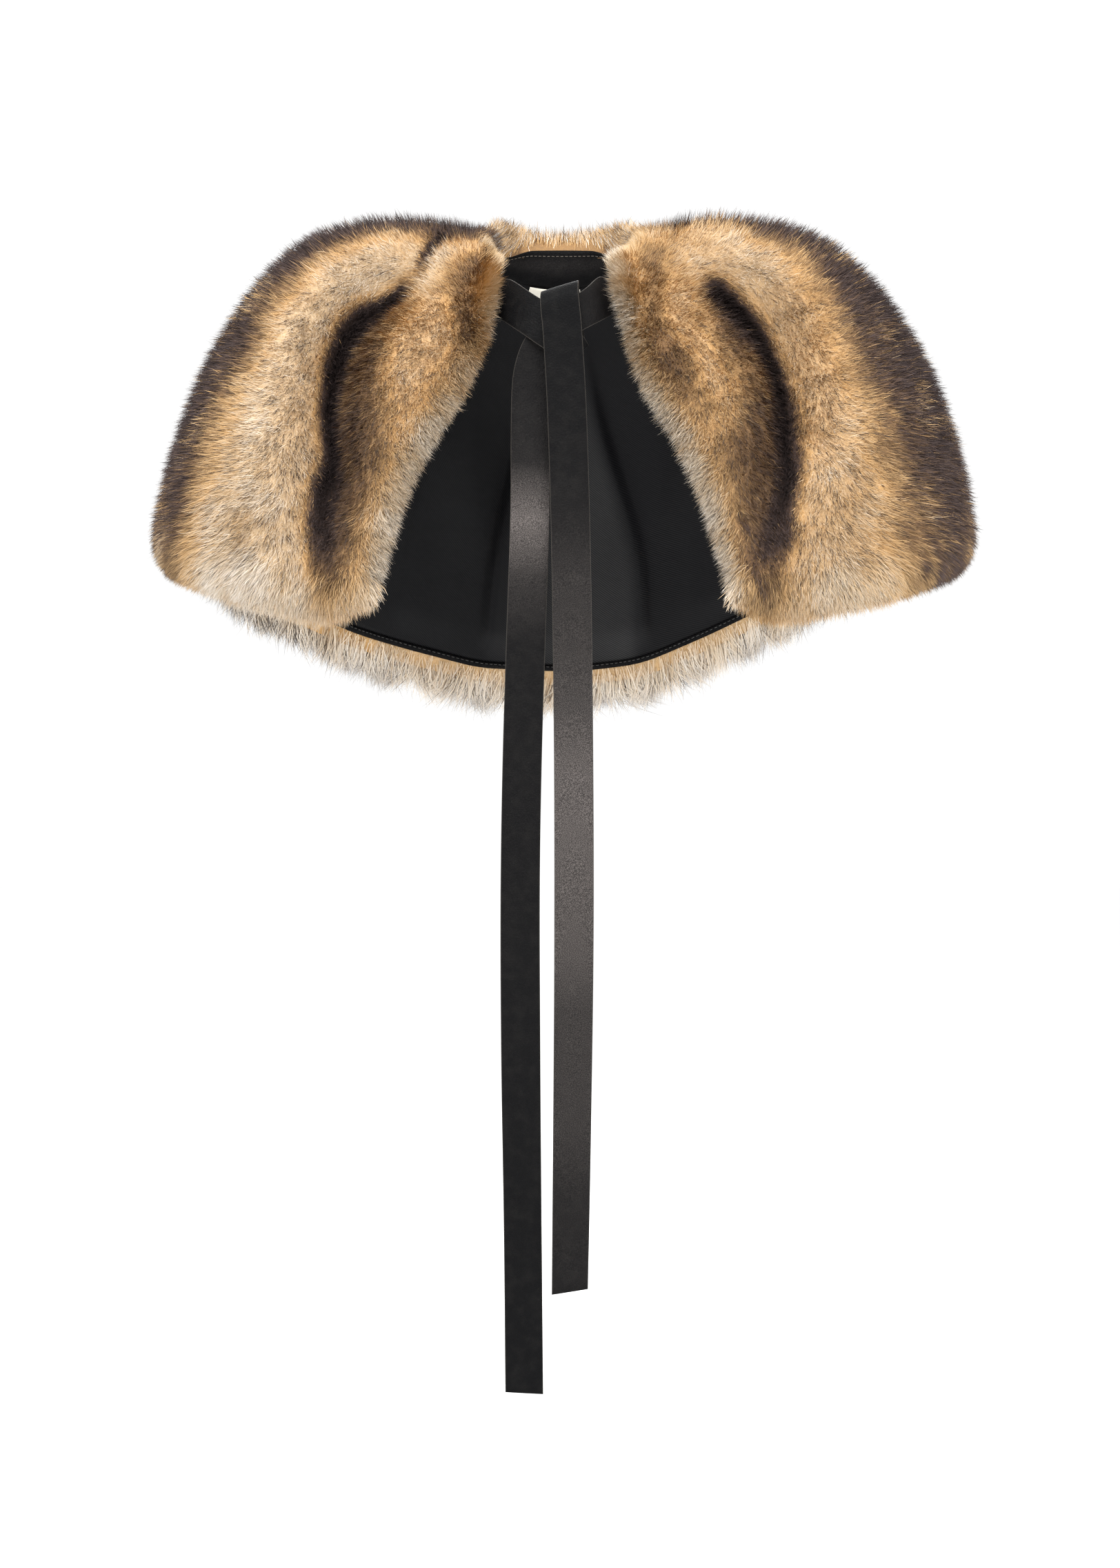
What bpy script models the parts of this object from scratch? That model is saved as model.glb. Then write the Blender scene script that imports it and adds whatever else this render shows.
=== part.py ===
"""Shearling cape with two long leather ties, hollow and shaped as it hangs when worn.

+X is the wearer's left, -Y the wearer's front and +Z up. The origin is the middle of the neck opening, at
the height where the cape rests on the shoulders. Sizes and tables are in millimetres and degrees.
"""

from collections import namedtuple

import bmesh
import bpy
import numpy as np

MM = 0.001

# The hide, laid out as rings from the neck (share 0) to the hem (share 1). Depths run forward and back from
# the neck's middle, the edge columns are how far each front edge stands from the centre line, shift moves a
# ring towards the wearer's left, and lift raises it behind the left shoulder, where the cape hangs askew.
Ring = namedtuple(
    "Ring", "share half_width shift front_depth back_depth z_front z_side z_back lift edge_left edge_right"
)
RINGS = [
    Ring(0.00, 62, 0.0, 66, 60, 8, 24, 28, 0, 39, 51),
    Ring(0.10, 92, 0.5, 82, 66, -18, 31, 2, 0, 42, 53),
    Ring(0.22, 133, 1.5, 98, 88, -52, 31, -34, 2, 51, 58),
    Ring(0.36, 184, 3.0, 116, 112, -92, 14, -82, 6, 63, 74),
    Ring(0.52, 231, 4.0, 133, 133, -134, -25, -138, 11, 86, 98),
    Ring(0.68, 267, 4.0, 147, 149, -174, -80, -194, 17, 104, 118),
    Ring(0.84, 290, 3.0, 157, 161, -213, -143, -249, 22, 117, 130),
    Ring(1.00, 304, 1.5, 165, 171, -250, -206, -302, 27, 128, 141),
]

# The folds, each a soft valley that runs from neck to hem. Angles are counted from the front centre towards
# the wearer's left, and a fold drifts from its high angle to its low one over the shares in FOLD_DRIFTS. It
# starts and peaks at these shares and keeps a part of its depth at the hem. A negative depth is a roll that
# stands out.
FOLD_DRIFTS = (0.3, 0.8)
Fold = namedtuple("Fold", "angle_high angle_low width_neck width_hem depth start peak end keep")
FOLDS = [
    Fold(56.5, 34, 10, 5.5, 34, 0.06, 0.42, 1.00, 0.30),
    Fold(77, 60, 13, 12, -8, 0.08, 0.45, 1.00, 0.50),
    Fold(37, 26, 8, 6, -5, 0.15, 0.60, 1.00, 0.40),
    Fold(91, 98, 9, 7, 13, 0.00, 0.13, 0.42, 0.10),
    Fold(113, 116, 10, 8, 16, 0.10, 0.55, 1.00, 0.80),
    Fold(138, 141, 10, 6.5, 18, 0.10, 0.65, 1.00, 0.90),
    Fold(158, 167, 9, 4.8, 15, 0.10, 0.75, 1.00, 1.00),
    Fold(204, 194, 9, 4.8, 14, 0.10, 0.70, 1.00, 1.00),
    Fold(223, 218, 10, 6.5, 19, 0.10, 0.60, 1.00, 0.85),
    Fold(249, 245, 10, 8, 15, 0.10, 0.60, 1.00, 0.80),
    Fold(270, 263, 9, 7, 12, 0.00, 0.14, 0.40, 0.10),
    Fold(318, 328, 8, 6, -5, 0.15, 0.60, 1.00, 0.40),
    Fold(281, 297, 13, 12, -8, 0.08, 0.45, 1.00, 0.50),
    Fold(300, 321, 10, 5.5, 35, 0.06, 0.40, 1.00, 0.30),
]

# Fur: its depth over the hide, and how far it reaches past each edge of the hide: past the hem less in front
# than behind, and upright behind the neck.
PILE_AT_NECK = 19.0
PILE_ON_BODY = 25.0
PILE_FULL_AT = 0.16
FUR_PAST_HEM = (28.0, 38.0)
FUR_PAST_FRONT = 12.0
FUR_PAST_NECK = 5.0
FUR_STANDS_BEHIND = 21.0
BEHIND_FROM = (95.0, 150.0)
HEM_ROUNDING = (90, 60, 30)
FRONT_ROUNDING = (70, 45, 20)
NECK_ROUNDING = (30, 65)
CORNER_KEEPS = 0.7

# Seams: the fronts meet the back just behind the shoulder.
SEAM_ANGLE = 98.0
SEAM_HALF_GAP = 0.16
GAP = 0.3

# Lining, neck facing, hem binding and label lie inside the hide, one against another.
LINING_THICKNESS = 1.2
FACING_THICKNESS = 1.5
FACING_END = 0.10
BINDING_THICKNESS = 2.4
BINDING_START = 0.985
ROW_GAP = 0.0012
LABEL_THICKNESS = 0.6
LABEL_LIFT = 0.5
LABEL_ANGLE = 184.0
LABEL_HALF_ANGLE = 13.0
LABEL_ROWS = (0.108, 0.182)

# How finely the cloth is divided.
FRONT_STEPS = 20
BACK_STEPS = 34
LINING_STEPS = 13
LABEL_STEPS = 6

# Ties: straps through stations given by the middle of the strap, the slant of the line across it in the
# front view, and its width, which gathers inside the knot. Each is sewn to the facing at its front edge.
TIE_THICKNESS = 2.0
SEWN_WIDTH = 27.0
SEWN_DEPTH = 4.6
TIE_STEPS = 4
SEWN_ANGLES = (13.0, 3.0)
SEWN_SHARES = (0.050, 0.075)
Station = namedtuple("Station", "x y z slant width")
TIE_RIGHT = [
    Station(-44.0, -62.5, -22.0, 62, 30),
    Station(-31.0, -78.5, -33.0, 60, 30),
    Station(-22.0, -86.5, -40.0, 58, 30),
    Station(-12.0, -90.0, -48.0, 56, 29),
    Station(0.0, -90.2, -57.0, 52, 27),
    Station(8.5, -89.0, -63.5, 46, 23),
    Station(12.5, -84.0, -67.0, 40, 20),
    Station(9.5, -78.5, -62.0, 34, 20),
    Station(5.5, -77.5, -48.0, 22, 22),
    Station(2.0, -77.5, -33.0, 14, 26),
    Station(-0.5, -77.3, -24.0, 15, 29),
    Station(-1.7, -85.5, -16.4, 17, 30),
    Station(-2.2, -93.0, -24.0, 14, 30),
    Station(-1.2, -94.0, -36.0, 7, 30),
    Station(0.5, -94.0, -55.0, 3, 30),
    Station(4.0, -94.5, -120.0, 1, 30),
    Station(7.0, -96.0, -230.0, 0, 30),
    Station(8.8, -98.0, -380.0, 0, 30),
    Station(9.0, -99.0, -520.0, 0, 30),
    Station(7.6, -99.0, -660.0, 0, 29),
    Station(5.9, -98.0, -784.0, 9, 28),
]
TIE_LEFT = [
    Station(34.0, -66.0, -20.0, 118, 30),
    Station(26.0, -75.5, -27.2, 119, 28),
    Station(16.0, -83.5, -34.5, 120, 26),
    Station(4.0, -85.5, -42.0, 126, 25),
    Station(-7.0, -85.0, -50.0, 141, 25),
    Station(-15.5, -84.5, -60.0, 158, 27),
    Station(-20.5, -84.0, -73.0, 171, 29),
    Station(-23.4, -84.5, -92.0, 177, 30),
    Station(-24.3, -86.0, -130.0, 180, 30),
    Station(-24.6, -88.0, -190.0, 180, 30),
    Station(-27.5, -91.0, -280.0, 180, 30),
    Station(-30.5, -93.0, -380.0, 180, 30),
    Station(-32.0, -94.0, -480.0, 180, 30),
    Station(-31.6, -94.5, -600.0, 180, 30),
    Station(-30.0, -94.0, -740.0, 179, 29),
    Station(-28.9, -93.0, -862.0, 177, 29),
]

# Colour, roughness and metallic value of each material.
Finish = namedtuple("Finish", "color roughness metallic")
FINISHES = {
    "fur": Finish((0.62, 0.43, 0.25), 0.9, 0.0),
    "lining": Finish((0.012, 0.012, 0.014), 0.5, 0.0),
    "leather": Finish((0.016, 0.015, 0.016), 0.42, 0.0),
    "label": Finish((0.80, 0.76, 0.66), 0.8, 0.0),
}


def unit(vectors):
    """The vectors at length one."""
    return vectors / np.linalg.norm(vectors, axis=-1, keepdims=True)


def smooth_columns(rows, share):
    """Every column of a table at these shares, on a smooth curve through its rows."""
    table = np.array(rows, float)
    at = table[:, 0]
    slope = np.gradient(table, at, axis=0)
    k = np.clip(np.searchsorted(at, share, side="right") - 1, 0, len(at) - 2)
    step = (at[k + 1] - at[k])[..., None]
    t = (share - at[k])[..., None] / step
    start = table[k] * (1 + 2 * t) * (1 - t) ** 2 + slope[k] * step * t * (1 - t) ** 2
    finish = table[k + 1] * t**2 * (3 - 2 * t) + slope[k + 1] * step * t**2 * (t - 1)
    return np.moveaxis(start + finish, -1, 0)


def front_angle(share, side):
    """The angle at which a front edge stands on its ring; side is 1 on the left and -1 on the right."""
    ring = Ring(*smooth_columns(RINGS, share))
    edge = np.where(side > 0, ring.edge_left - ring.shift, ring.edge_right + ring.shift)
    return np.degrees(np.arcsin(edge / ring.half_width))


def bare_point(angle, share):
    """A point of the hide before it is folded; each ring is an ellipse that dips from its sides."""
    ring = Ring(*smooth_columns(RINGS, share))
    turn = (angle + 180) % 360 - 180
    away = np.abs(turn)
    in_front = away < 90
    to_front = (90 - away) / (90 - front_angle(share, np.sign(turn)))
    to_back = (away - 90) / 90
    dip = 0.5 - 0.5 * np.cos(np.pi * np.where(in_front, to_front, to_back))
    depth = np.where(in_front, ring.front_depth, ring.back_depth)
    low = np.where(in_front, ring.z_front, ring.z_back)
    around = np.radians(turn)
    lift = np.where(turn > 90, ring.lift * np.sin(np.pi * to_back) ** 2, 0)
    x = ring.shift + ring.half_width * np.sin(around)
    y = -depth * np.cos(around)
    z = ring.z_side + (low - ring.z_side) * dip + lift
    return np.stack([x, y, z], axis=-1)


def ease(value, low, high):
    """0 below low, 1 above high, and a smooth step between."""
    t = np.clip((value - low) / (high - low), 0, 1)
    return t * t * (3 - 2 * t)


def fold_height(angle, share):
    """How far the folds move the hide along its normal."""
    height = np.zeros_like(share)
    for fold in FOLDS:
        centre = fold.angle_high + (fold.angle_low - fold.angle_high) * ease(share, *FOLD_DRIFTS)
        width = fold.width_neck + (fold.width_hem - fold.width_neck) * share
        off = ((angle - centre + 180) % 360 - 180) / width
        fading = 1 - (1 - fold.keep) * ease(share, fold.peak, fold.end)
        height -= fold.depth * ease(share, fold.start, fold.peak) * fading * np.exp(-off * off)
    return height


def cape_point(angle, share, height=0.0, down_by=0.0, round_by=0.0, up_by=0.0):
    """A point over the folded hide: raised along its normal, moved down towards the hem or round its ring,
    or lifted upright."""
    small_turn, small_share = 0.2, 0.002
    turning = bare_point(angle + small_turn, share) - bare_point(angle - small_turn, share)
    falling = bare_point(angle, share + small_share) - bare_point(angle, share - small_share)
    normal = unit(np.cross(falling, turning))
    rise = np.asarray(fold_height(angle, share) + height)[..., None]
    down = np.asarray(down_by)[..., None] * unit(falling)
    sideways = np.asarray(round_by)[..., None] * unit(turning)
    upright = np.asarray(up_by)[..., None] * np.array([0, 0, 1.0])
    return bare_point(angle, share) + rise * normal + down + sideways + upright


def front_angles(side, places, shares):
    """Angles of a front's columns: place 0 is the front edge and place 1 the side seam."""
    first = front_angle(shares, side)
    return side * (first + (SEAM_ANGLE - SEAM_HALF_GAP - first) * places)


def back_angles(places, shares):
    """Angles of the back's columns, from the left seam round to the right one."""
    first = SEAM_ANGLE + SEAM_HALF_GAP
    return first + (360 - 2 * first) * places + 0 * shares


def closed_solid(name, sections, rows, hem_points, finish, mirrored=0):
    """One closed solid through a row of closed sections, each with this many rows of points down the inside,
    some round the hem, as many rows up the outside and the rest round the neck. Inside and outside split
    their quads along the same diagonal, so that sheets made from the same rows lie parallel. The first
    mirrored gaps take the other diagonal, which follows the folds of the left front."""
    bm = bmesh.new()
    grid = [[bm.verts.new(point * MM) for point in section] for section in sections]
    count = len(grid[0])
    for column, (near, far) in enumerate(zip(grid, grid[1:])):
        for i in range(count):
            j = (i + 1) % count
            if (i < rows) == (column >= mirrored):
                bm.faces.new((near[i], near[j], far[j]))
                bm.faces.new((near[i], far[j], far[i]))
            else:
                bm.faces.new((near[i], near[j], far[i]))
                bm.faces.new((near[j], far[j], far[i]))
    for end in (grid[0], grid[-1]):
        outside = end[rows + hem_points : 2 * rows + hem_points][::-1]
        for i in range(rows - 1):
            bm.faces.new((end[i], end[i + 1], outside[i + 1], outside[i]))
        if hem_points:
            bm.faces.new(end[rows - 1 : rows + hem_points] + outside[-1:])
        if count > 2 * rows + hem_points:
            bm.faces.new(end[2 * rows + hem_points :] + end[:1] + outside[:1])
    bmesh.ops.recalc_face_normals(bm, faces=bm.faces)
    mesh = bpy.data.meshes.new(name)
    bm.to_mesh(mesh)
    bm.free()
    mesh.shade_smooth()
    mesh.set_sharp_from_angle(angle=np.radians(40))
    mesh.materials.append(material(finish))
    made = bpy.data.objects.new(name, mesh)
    bpy.context.scene.collection.objects.link(made)
    return made


def material(name):
    """The named material, made on first use."""
    found = bpy.data.materials.get(name)
    if found:
        return found
    finish = FINISHES[name]
    made = bpy.data.materials.new(name)
    made.use_nodes = True
    shader = made.node_tree.nodes["Principled BSDF"]
    shader.inputs["Base Color"].default_value = (*finish.color, 1)
    shader.inputs["Roughness"].default_value = finish.roughness
    shader.inputs["Metallic"].default_value = finish.metallic
    made.diffuse_color = (*finish.color, 1)
    return made


LINING_ROWS = np.linspace(FACING_END, BINDING_START, LINING_STEPS + 1)
HIDE_ROWS = np.concatenate([[0, FACING_END / 2], LINING_ROWS, [1]])
FRONT_PLACES = np.linspace(0, 1, FRONT_STEPS + 1)
BACK_PLACES = np.linspace(0, 1, BACK_STEPS + 1)


def fur_section():
    """Share, rise and reach of the points round a section of furred hide: down the skin, round the hem's
    fur, up the tips of the pile and over the neck. Rise is a part of the pile's depth, and reach a part of
    how far the fur goes past the hem, or past the neck where it is negative."""
    hem, neck = np.radians(HEM_ROUNDING), np.radians(NECK_ROUNDING)
    skin, tips = np.zeros(len(HIDE_ROWS)), np.ones(len(HIDE_ROWS))
    share = np.concatenate([HIDE_ROWS, np.ones(len(hem)), HIDE_ROWS[::-1], np.zeros(len(neck))])
    rise = np.concatenate([skin, np.cos(hem), tips, np.cos(neck)])
    reach = np.concatenate([skin, np.sin(hem), skin, -np.sin(neck)])
    return share, rise, reach


def pile_depth(share):
    """Depth of the fur, which is shorter at the neck."""
    return PILE_AT_NECK + (PILE_ON_BODY - PILE_AT_NECK) * ease(share, 0, PILE_FULL_AT)


def fur_past(angle, reach):
    """How far the fur goes down past the hem, or back past the neck, and how far it stands up."""
    behind = ease(np.abs((angle + 180) % 360 - 180), *BEHIND_FROM)
    front, back = FUR_PAST_HEM
    down = reach * np.where(reach > 0, front + (back - front) * behind, FUR_PAST_NECK)
    return down, FUR_STANDS_BEHIND * behind * np.maximum(-reach, 0)


def make_front(name, side):
    """A furred front, rounded over along its free edge."""
    share, rise, reach = fur_section()
    rim = np.radians(FRONT_ROUNDING)
    places = np.concatenate([np.zeros(len(rim)), FRONT_PLACES])[:, None]
    thin = np.concatenate([np.cos(rim), np.ones(FRONT_STEPS + 1)])[:, None]
    past = np.concatenate([FUR_PAST_FRONT * np.sin(rim), np.zeros(FRONT_STEPS + 1)])[:, None]
    shares = share + 0 * places
    angles = front_angles(side, places, shares)
    height = rise * thin * pile_depth(shares)
    down, up = fur_past(angles, reach)
    down = down * (CORNER_KEEPS + (1 - CORNER_KEEPS) * thin)
    points = cape_point(angles, shares, height, down, -side * past, up)
    mirrored = len(points) if side > 0 else 0
    return closed_solid(name, points[::side], len(HIDE_ROWS), len(HEM_ROUNDING), "fur", mirrored)


def make_back(name):
    """The furred back, from one side seam to the other."""
    share, rise, reach = fur_section()
    places = BACK_PLACES[:, None]
    shares = share + 0 * places
    angles = back_angles(places, shares)
    down, up = fur_past(angles, reach)
    points = cape_point(angles, shares, rise * pile_depth(shares), down, 0.0, up)
    return closed_solid(name, points, len(HIDE_ROWS), len(HEM_ROUNDING), "fur")


def make_wall(name, angles_at, rows, outer, thickness, finish, mirrored=0):
    """A sheet inside the hide: its outer face lies this far in, and angles_at gives its columns."""
    share = np.concatenate([rows, rows[::-1]])
    height = np.concatenate([np.full(len(rows), -outer - thickness), np.full(len(rows), -outer)])
    angles = angles_at(share)
    points = cape_point(angles, share + 0 * angles, height)
    return closed_solid(name, points, len(rows), 0, finish, mirrored)


def around_neck(shares):
    """Angles of every column from the left front edge, round the back, to the right front edge."""
    left = front_angles(1, FRONT_PLACES[:, None], shares)
    back = back_angles(BACK_PLACES[:, None], shares)
    right = 360 + front_angles(-1, FRONT_PLACES[::-1, None], shares)
    return np.concatenate([left, back, right])


def make_linings():
    """The lining's three panels, cut like the fur and sewn between the facing and the hem binding."""
    rows = np.concatenate([[FACING_END + ROW_GAP], LINING_ROWS[1:-1], [BINDING_START - ROW_GAP]])
    for name, side in (("lining_front_left", 1), ("lining_front_right", -1)):
        columns = lambda shares, side=side: front_angles(side, FRONT_PLACES[::side, None], shares)
        make_wall(name, columns, rows, GAP, LINING_THICKNESS, "lining", FRONT_STEPS if side > 0 else 0)
    columns = lambda shares: back_angles(BACK_PLACES[:, None], shares)
    make_wall("lining_back", columns, rows, GAP, LINING_THICKNESS, "lining")


def make_label():
    """A blank woven label on the lining, under the facing at the back of the neck."""
    places = np.linspace(-LABEL_HALF_ANGLE, LABEL_HALF_ANGLE, LABEL_STEPS + 1)[:, None]
    columns = lambda shares: LABEL_ANGLE + places + 0 * shares
    rows = np.linspace(*LABEL_ROWS, 3)
    make_wall("neck_label", columns, rows, GAP + LINING_THICKNESS + LABEL_LIFT, LABEL_THICKNESS, "label")


def through(stations, steps):
    """Points on a smooth curve through the stations, with this many steps from each to the next."""
    at = np.arange(len(stations))
    fine = np.linspace(0, len(stations) - 1, steps * (len(stations) - 1) + 1)
    rows = np.column_stack([at, stations])
    return smooth_columns(rows, fine)[1:].T


def make_tie(name, side, stations):
    """A flat strap swept through its stations, from where it is sewn to the facing to its free end."""
    shares = np.array(SEWN_SHARES)
    angles = side * (front_angle(shares, side) + np.array(SEWN_ANGLES))
    sewn = cape_point(angles, shares, -SEWN_DEPTH)
    upward = unit(cape_point(angles, shares - 0.02) - cape_point(angles, shares + 0.02))
    free = np.array(stations, float)
    slant = np.radians(free[:, 3])
    across = np.stack([np.cos(slant), 0 * slant, np.sin(slant)], axis=-1)
    width = np.concatenate([np.full(len(sewn), SEWN_WIDTH), free[:, 4]])
    rows = np.column_stack([np.vstack([sewn, free[:, :3]]), np.vstack([upward, across]), width])
    path = through(rows, TIE_STEPS)
    middle, half = path[:, :3], unit(path[:, 3:6]) * path[:, 6:] / 2
    normal = unit(np.cross(half, np.gradient(middle, axis=0))) * TIE_THICKNESS / 2
    inner, outer = middle - normal, middle + normal
    corners = np.stack([inner - half, inner + half, outer + half, outer - half], axis=1)
    return closed_solid(name, corners, 2, 0, "leather")


def build():
    """The whole cape."""
    for old in list(bpy.data.objects):
        bpy.data.objects.remove(old)
    make_front("front_left", 1)
    make_front("front_right", -1)
    make_back("back")
    make_linings()
    make_wall("neck_facing", around_neck, HIDE_ROWS[:3], GAP, FACING_THICKNESS, "leather", FRONT_STEPS)
    hem_rows = np.array([BINDING_START, 1.0])
    make_wall("hem_binding", around_neck, hem_rows, GAP, BINDING_THICKNESS, "leather", FRONT_STEPS)
    make_label()
    make_tie("tie_left", 1, TIE_LEFT)
    make_tie("tie_right", -1, TIE_RIGHT)


build()
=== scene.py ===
"""The looks of the shearling cape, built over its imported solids.

+X is the wearer's left, -Y the wearer's front and +Z up. Sizes are in millimetres and angles in degrees
until a mesh is made. An angle counts from the front centre towards the wearer's left, and a share runs from
the neck, 0, to the hem, 1.
"""

import math
from collections import namedtuple

import bpy
import numpy as np
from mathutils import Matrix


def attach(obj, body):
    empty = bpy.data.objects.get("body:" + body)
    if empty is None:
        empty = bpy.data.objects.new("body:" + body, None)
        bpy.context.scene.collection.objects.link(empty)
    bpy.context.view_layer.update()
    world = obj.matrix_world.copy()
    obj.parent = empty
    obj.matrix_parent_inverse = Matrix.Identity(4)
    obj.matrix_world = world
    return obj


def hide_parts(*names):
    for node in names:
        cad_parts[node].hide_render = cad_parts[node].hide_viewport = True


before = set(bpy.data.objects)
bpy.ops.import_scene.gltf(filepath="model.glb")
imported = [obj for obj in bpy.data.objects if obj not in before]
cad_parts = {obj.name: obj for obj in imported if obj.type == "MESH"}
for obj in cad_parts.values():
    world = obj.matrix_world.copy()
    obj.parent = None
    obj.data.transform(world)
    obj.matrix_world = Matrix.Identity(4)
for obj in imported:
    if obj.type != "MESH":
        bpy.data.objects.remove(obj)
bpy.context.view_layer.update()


# The hide: two fronts and a back of dyed sheepskin, sewn together at side seams just behind the shoulders.
# It hangs from the neck in soft rolls and valleys. Under the long hair lies a mat of short wool, which is
# what these three shells show, from the skin to about two thirds of the pile's depth.

MM = 0.001
UPRIGHT = np.array([0, 0, 1.0])
Ring = namedtuple(
    "Ring", "share half_width shift front_depth back_depth z_front z_side z_back lift edge_left edge_right"
)
RINGS = [
    Ring(0.00, 62, 0.0, 66, 60, 8, 24, 28, 0, 39, 51),
    Ring(0.10, 92, 0.5, 82, 66, -18, 31, 2, 0, 42, 53),
    Ring(0.22, 133, 1.5, 98, 88, -52, 31, -34, 2, 51, 58),
    Ring(0.36, 184, 3.0, 116, 112, -92, 14, -82, 6, 63, 74),
    Ring(0.52, 231, 4.0, 133, 133, -134, -25, -138, 11, 86, 98),
    Ring(0.68, 267, 4.0, 147, 149, -174, -80, -194, 17, 104, 118),
    Ring(0.84, 290, 3.0, 157, 161, -213, -143, -249, 22, 117, 130),
    Ring(1.00, 304, 1.5, 165, 171, -250, -206, -302, 27, 128, 141),
]
FOLD_DRIFTS = (0.3, 0.8)
Fold = namedtuple("Fold", "angle_high angle_low width_neck width_hem depth start peak end keep")
FOLDS = [
    Fold(56.5, 34, 10, 5.5, 34, 0.06, 0.42, 1.00, 0.30),
    Fold(77, 60, 13, 12, -8, 0.08, 0.45, 1.00, 0.50),
    Fold(37, 26, 8, 6, -5, 0.15, 0.60, 1.00, 0.40),
    Fold(91, 98, 9, 7, 13, 0.00, 0.13, 0.42, 0.10),
    Fold(113, 116, 10, 8, 16, 0.10, 0.55, 1.00, 0.80),
    Fold(138, 141, 10, 6.5, 18, 0.10, 0.65, 1.00, 0.90),
    Fold(158, 167, 9, 4.8, 15, 0.10, 0.75, 1.00, 1.00),
    Fold(204, 194, 9, 4.8, 14, 0.10, 0.70, 1.00, 1.00),
    Fold(223, 218, 10, 6.5, 19, 0.10, 0.60, 1.00, 0.85),
    Fold(249, 245, 10, 8, 15, 0.10, 0.60, 1.00, 0.80),
    Fold(270, 263, 9, 7, 12, 0.00, 0.14, 0.40, 0.10),
    Fold(318, 328, 8, 6, -5, 0.15, 0.60, 1.00, 0.40),
    Fold(281, 297, 13, 12, -8, 0.08, 0.45, 1.00, 0.50),
    Fold(300, 321, 10, 5.5, 35, 0.06, 0.40, 1.00, 0.30),
]
SEAM_ANGLE = 98.0
SEAM_HALF_GAP = 0.16
PILE_AT_NECK = 19.0
PILE_ON_BODY = 25.0
PILE_FULL_AT = 0.16
WOOL_SHARE = 0.68
WOOL_LEAST = 0.05
HEM_ROUND = 18.0
HEM_ROLL = 15.0
HEM_ROLL_ENDS = (70.0, 97.0)
BACK_ROLL = 12.0
BACK_ROLL_FROM = (104.0, 124.0)
ROLL_AT_EDGE = 0.4
ROLL_FULL_AT = 30.0
FRONT_ROUND = 14.0
NECK_ROUND = 11.0
NECK_ROLL = 17.0
NECK_ROLL_WIDTH = 16.0
NECK_RISE = 5.0
NECK_RISE_FROM = (132.0, 158.0)
NECK_BARE = 1.5
NECK_PAINTED_SHADE = 0.22
NECK_PAINTED_SHADE_ENDS = (4.0, 16.0)
HIDE_LENGTH = 350.0
NO_EDGE = 1000.0
ANGLE_STEP = 0.2
SHARE_STEP = 0.002
FRONT_WIDTHS = (65.0, 360.0)
BEHIND_FROM = (95.0, 150.0)
PELT_ROWS = 0.5 - 0.5 * np.cos(np.linspace(0, np.pi, 73))
FRONT_PLACES = np.linspace(0, 1, 65) ** 1.6
BACK_PLACES = np.linspace(0, 1, 121)
FRONT_CUT = (0.36, 0.42)
FRONT_CUT_AREA = 0.094
BACK_CUT = (0.74, 0.42)
BACK_CUT_AREA = 0.190


def unit(vectors):
    """The vectors divided by their lengths."""
    return vectors / np.linalg.norm(vectors, axis=-1, keepdims=True)


def ease(value, low, high):
    """0 below low, 1 above high, and three t squared less two t cubed between."""
    t = np.clip((value - low) / (high - low), 0, 1)
    return t * t * (3 - 2 * t)


def smooth_columns(rows, at):
    """Each column of a table at these values of its first one, on a cubic Hermite curve through its rows."""
    table = np.array(rows, float)
    known = table[:, 0]
    slope = np.gradient(table, known, axis=0)
    k = np.clip(np.searchsorted(known, at, side="right") - 1, 0, len(known) - 2)
    step = (known[k + 1] - known[k])[..., None]
    t = (at - known[k])[..., None] / step
    start = table[k] * (1 + 2 * t) * (1 - t) ** 2 + slope[k] * step * t * (1 - t) ** 2
    finish = table[k + 1] * t**2 * (3 - 2 * t) + slope[k + 1] * step * t**2 * (t - 1)
    return np.moveaxis(start + finish, -1, 0)


def turn_of(angle):
    """The angle from -180 to 180, positive on the wearer's left."""
    return (angle + 180) % 360 - 180


def front_angle(share, side):
    """A front edge's place on its ring: the arcsine of its distance from the centre over the half width."""
    ring = Ring(*smooth_columns(RINGS, share))
    edge = np.where(side > 0, ring.edge_left - ring.shift, ring.edge_right + ring.shift)
    return np.degrees(np.arcsin(edge / ring.half_width))


def bare_hide(angle, share):
    """The hide before it is folded: rings of two half ellipses, whose height dips on a cosine from the sides
    to the front edges and to the back."""
    ring = Ring(*smooth_columns(RINGS, share))
    turn = turn_of(angle)
    away = np.abs(turn)
    in_front = away < 90
    to_front = (90 - away) / (90 - front_angle(share, np.sign(turn)))
    to_back = (away - 90) / 90
    dip = 0.5 - 0.5 * np.cos(np.pi * np.where(in_front, to_front, to_back))
    depth = np.where(in_front, ring.front_depth, ring.back_depth)
    low = np.where(in_front, ring.z_front, ring.z_back)
    lift = np.where(turn > 90, ring.lift * np.sin(np.pi * to_back) ** 2, 0)
    around = np.radians(turn)
    x = ring.shift + ring.half_width * np.sin(around)
    y = -depth * np.cos(around)
    z = ring.z_side + (low - ring.z_side) * dip + lift
    return np.stack([x, y, z], axis=-1)


def drifting(high, low, share):
    """A value that goes from high to low where the folds drift."""
    return high + (low - high) * ease(share, *FOLD_DRIFTS)


def fold_height(angle, share):
    """The sum of the folds: Gaussians across their drifting angles that deepen and fade along the share."""
    height = np.zeros_like(share)
    for fold in FOLDS:
        width = fold.width_neck + (fold.width_hem - fold.width_neck) * share
        off = turn_of(angle - drifting(fold.angle_high, fold.angle_low, share)) / width
        fading = 1 - (1 - fold.keep) * ease(share, fold.peak, fold.end)
        height -= fold.depth * ease(share, fold.start, fold.peak) * fading * np.exp(-off * off)
    return height


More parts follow.
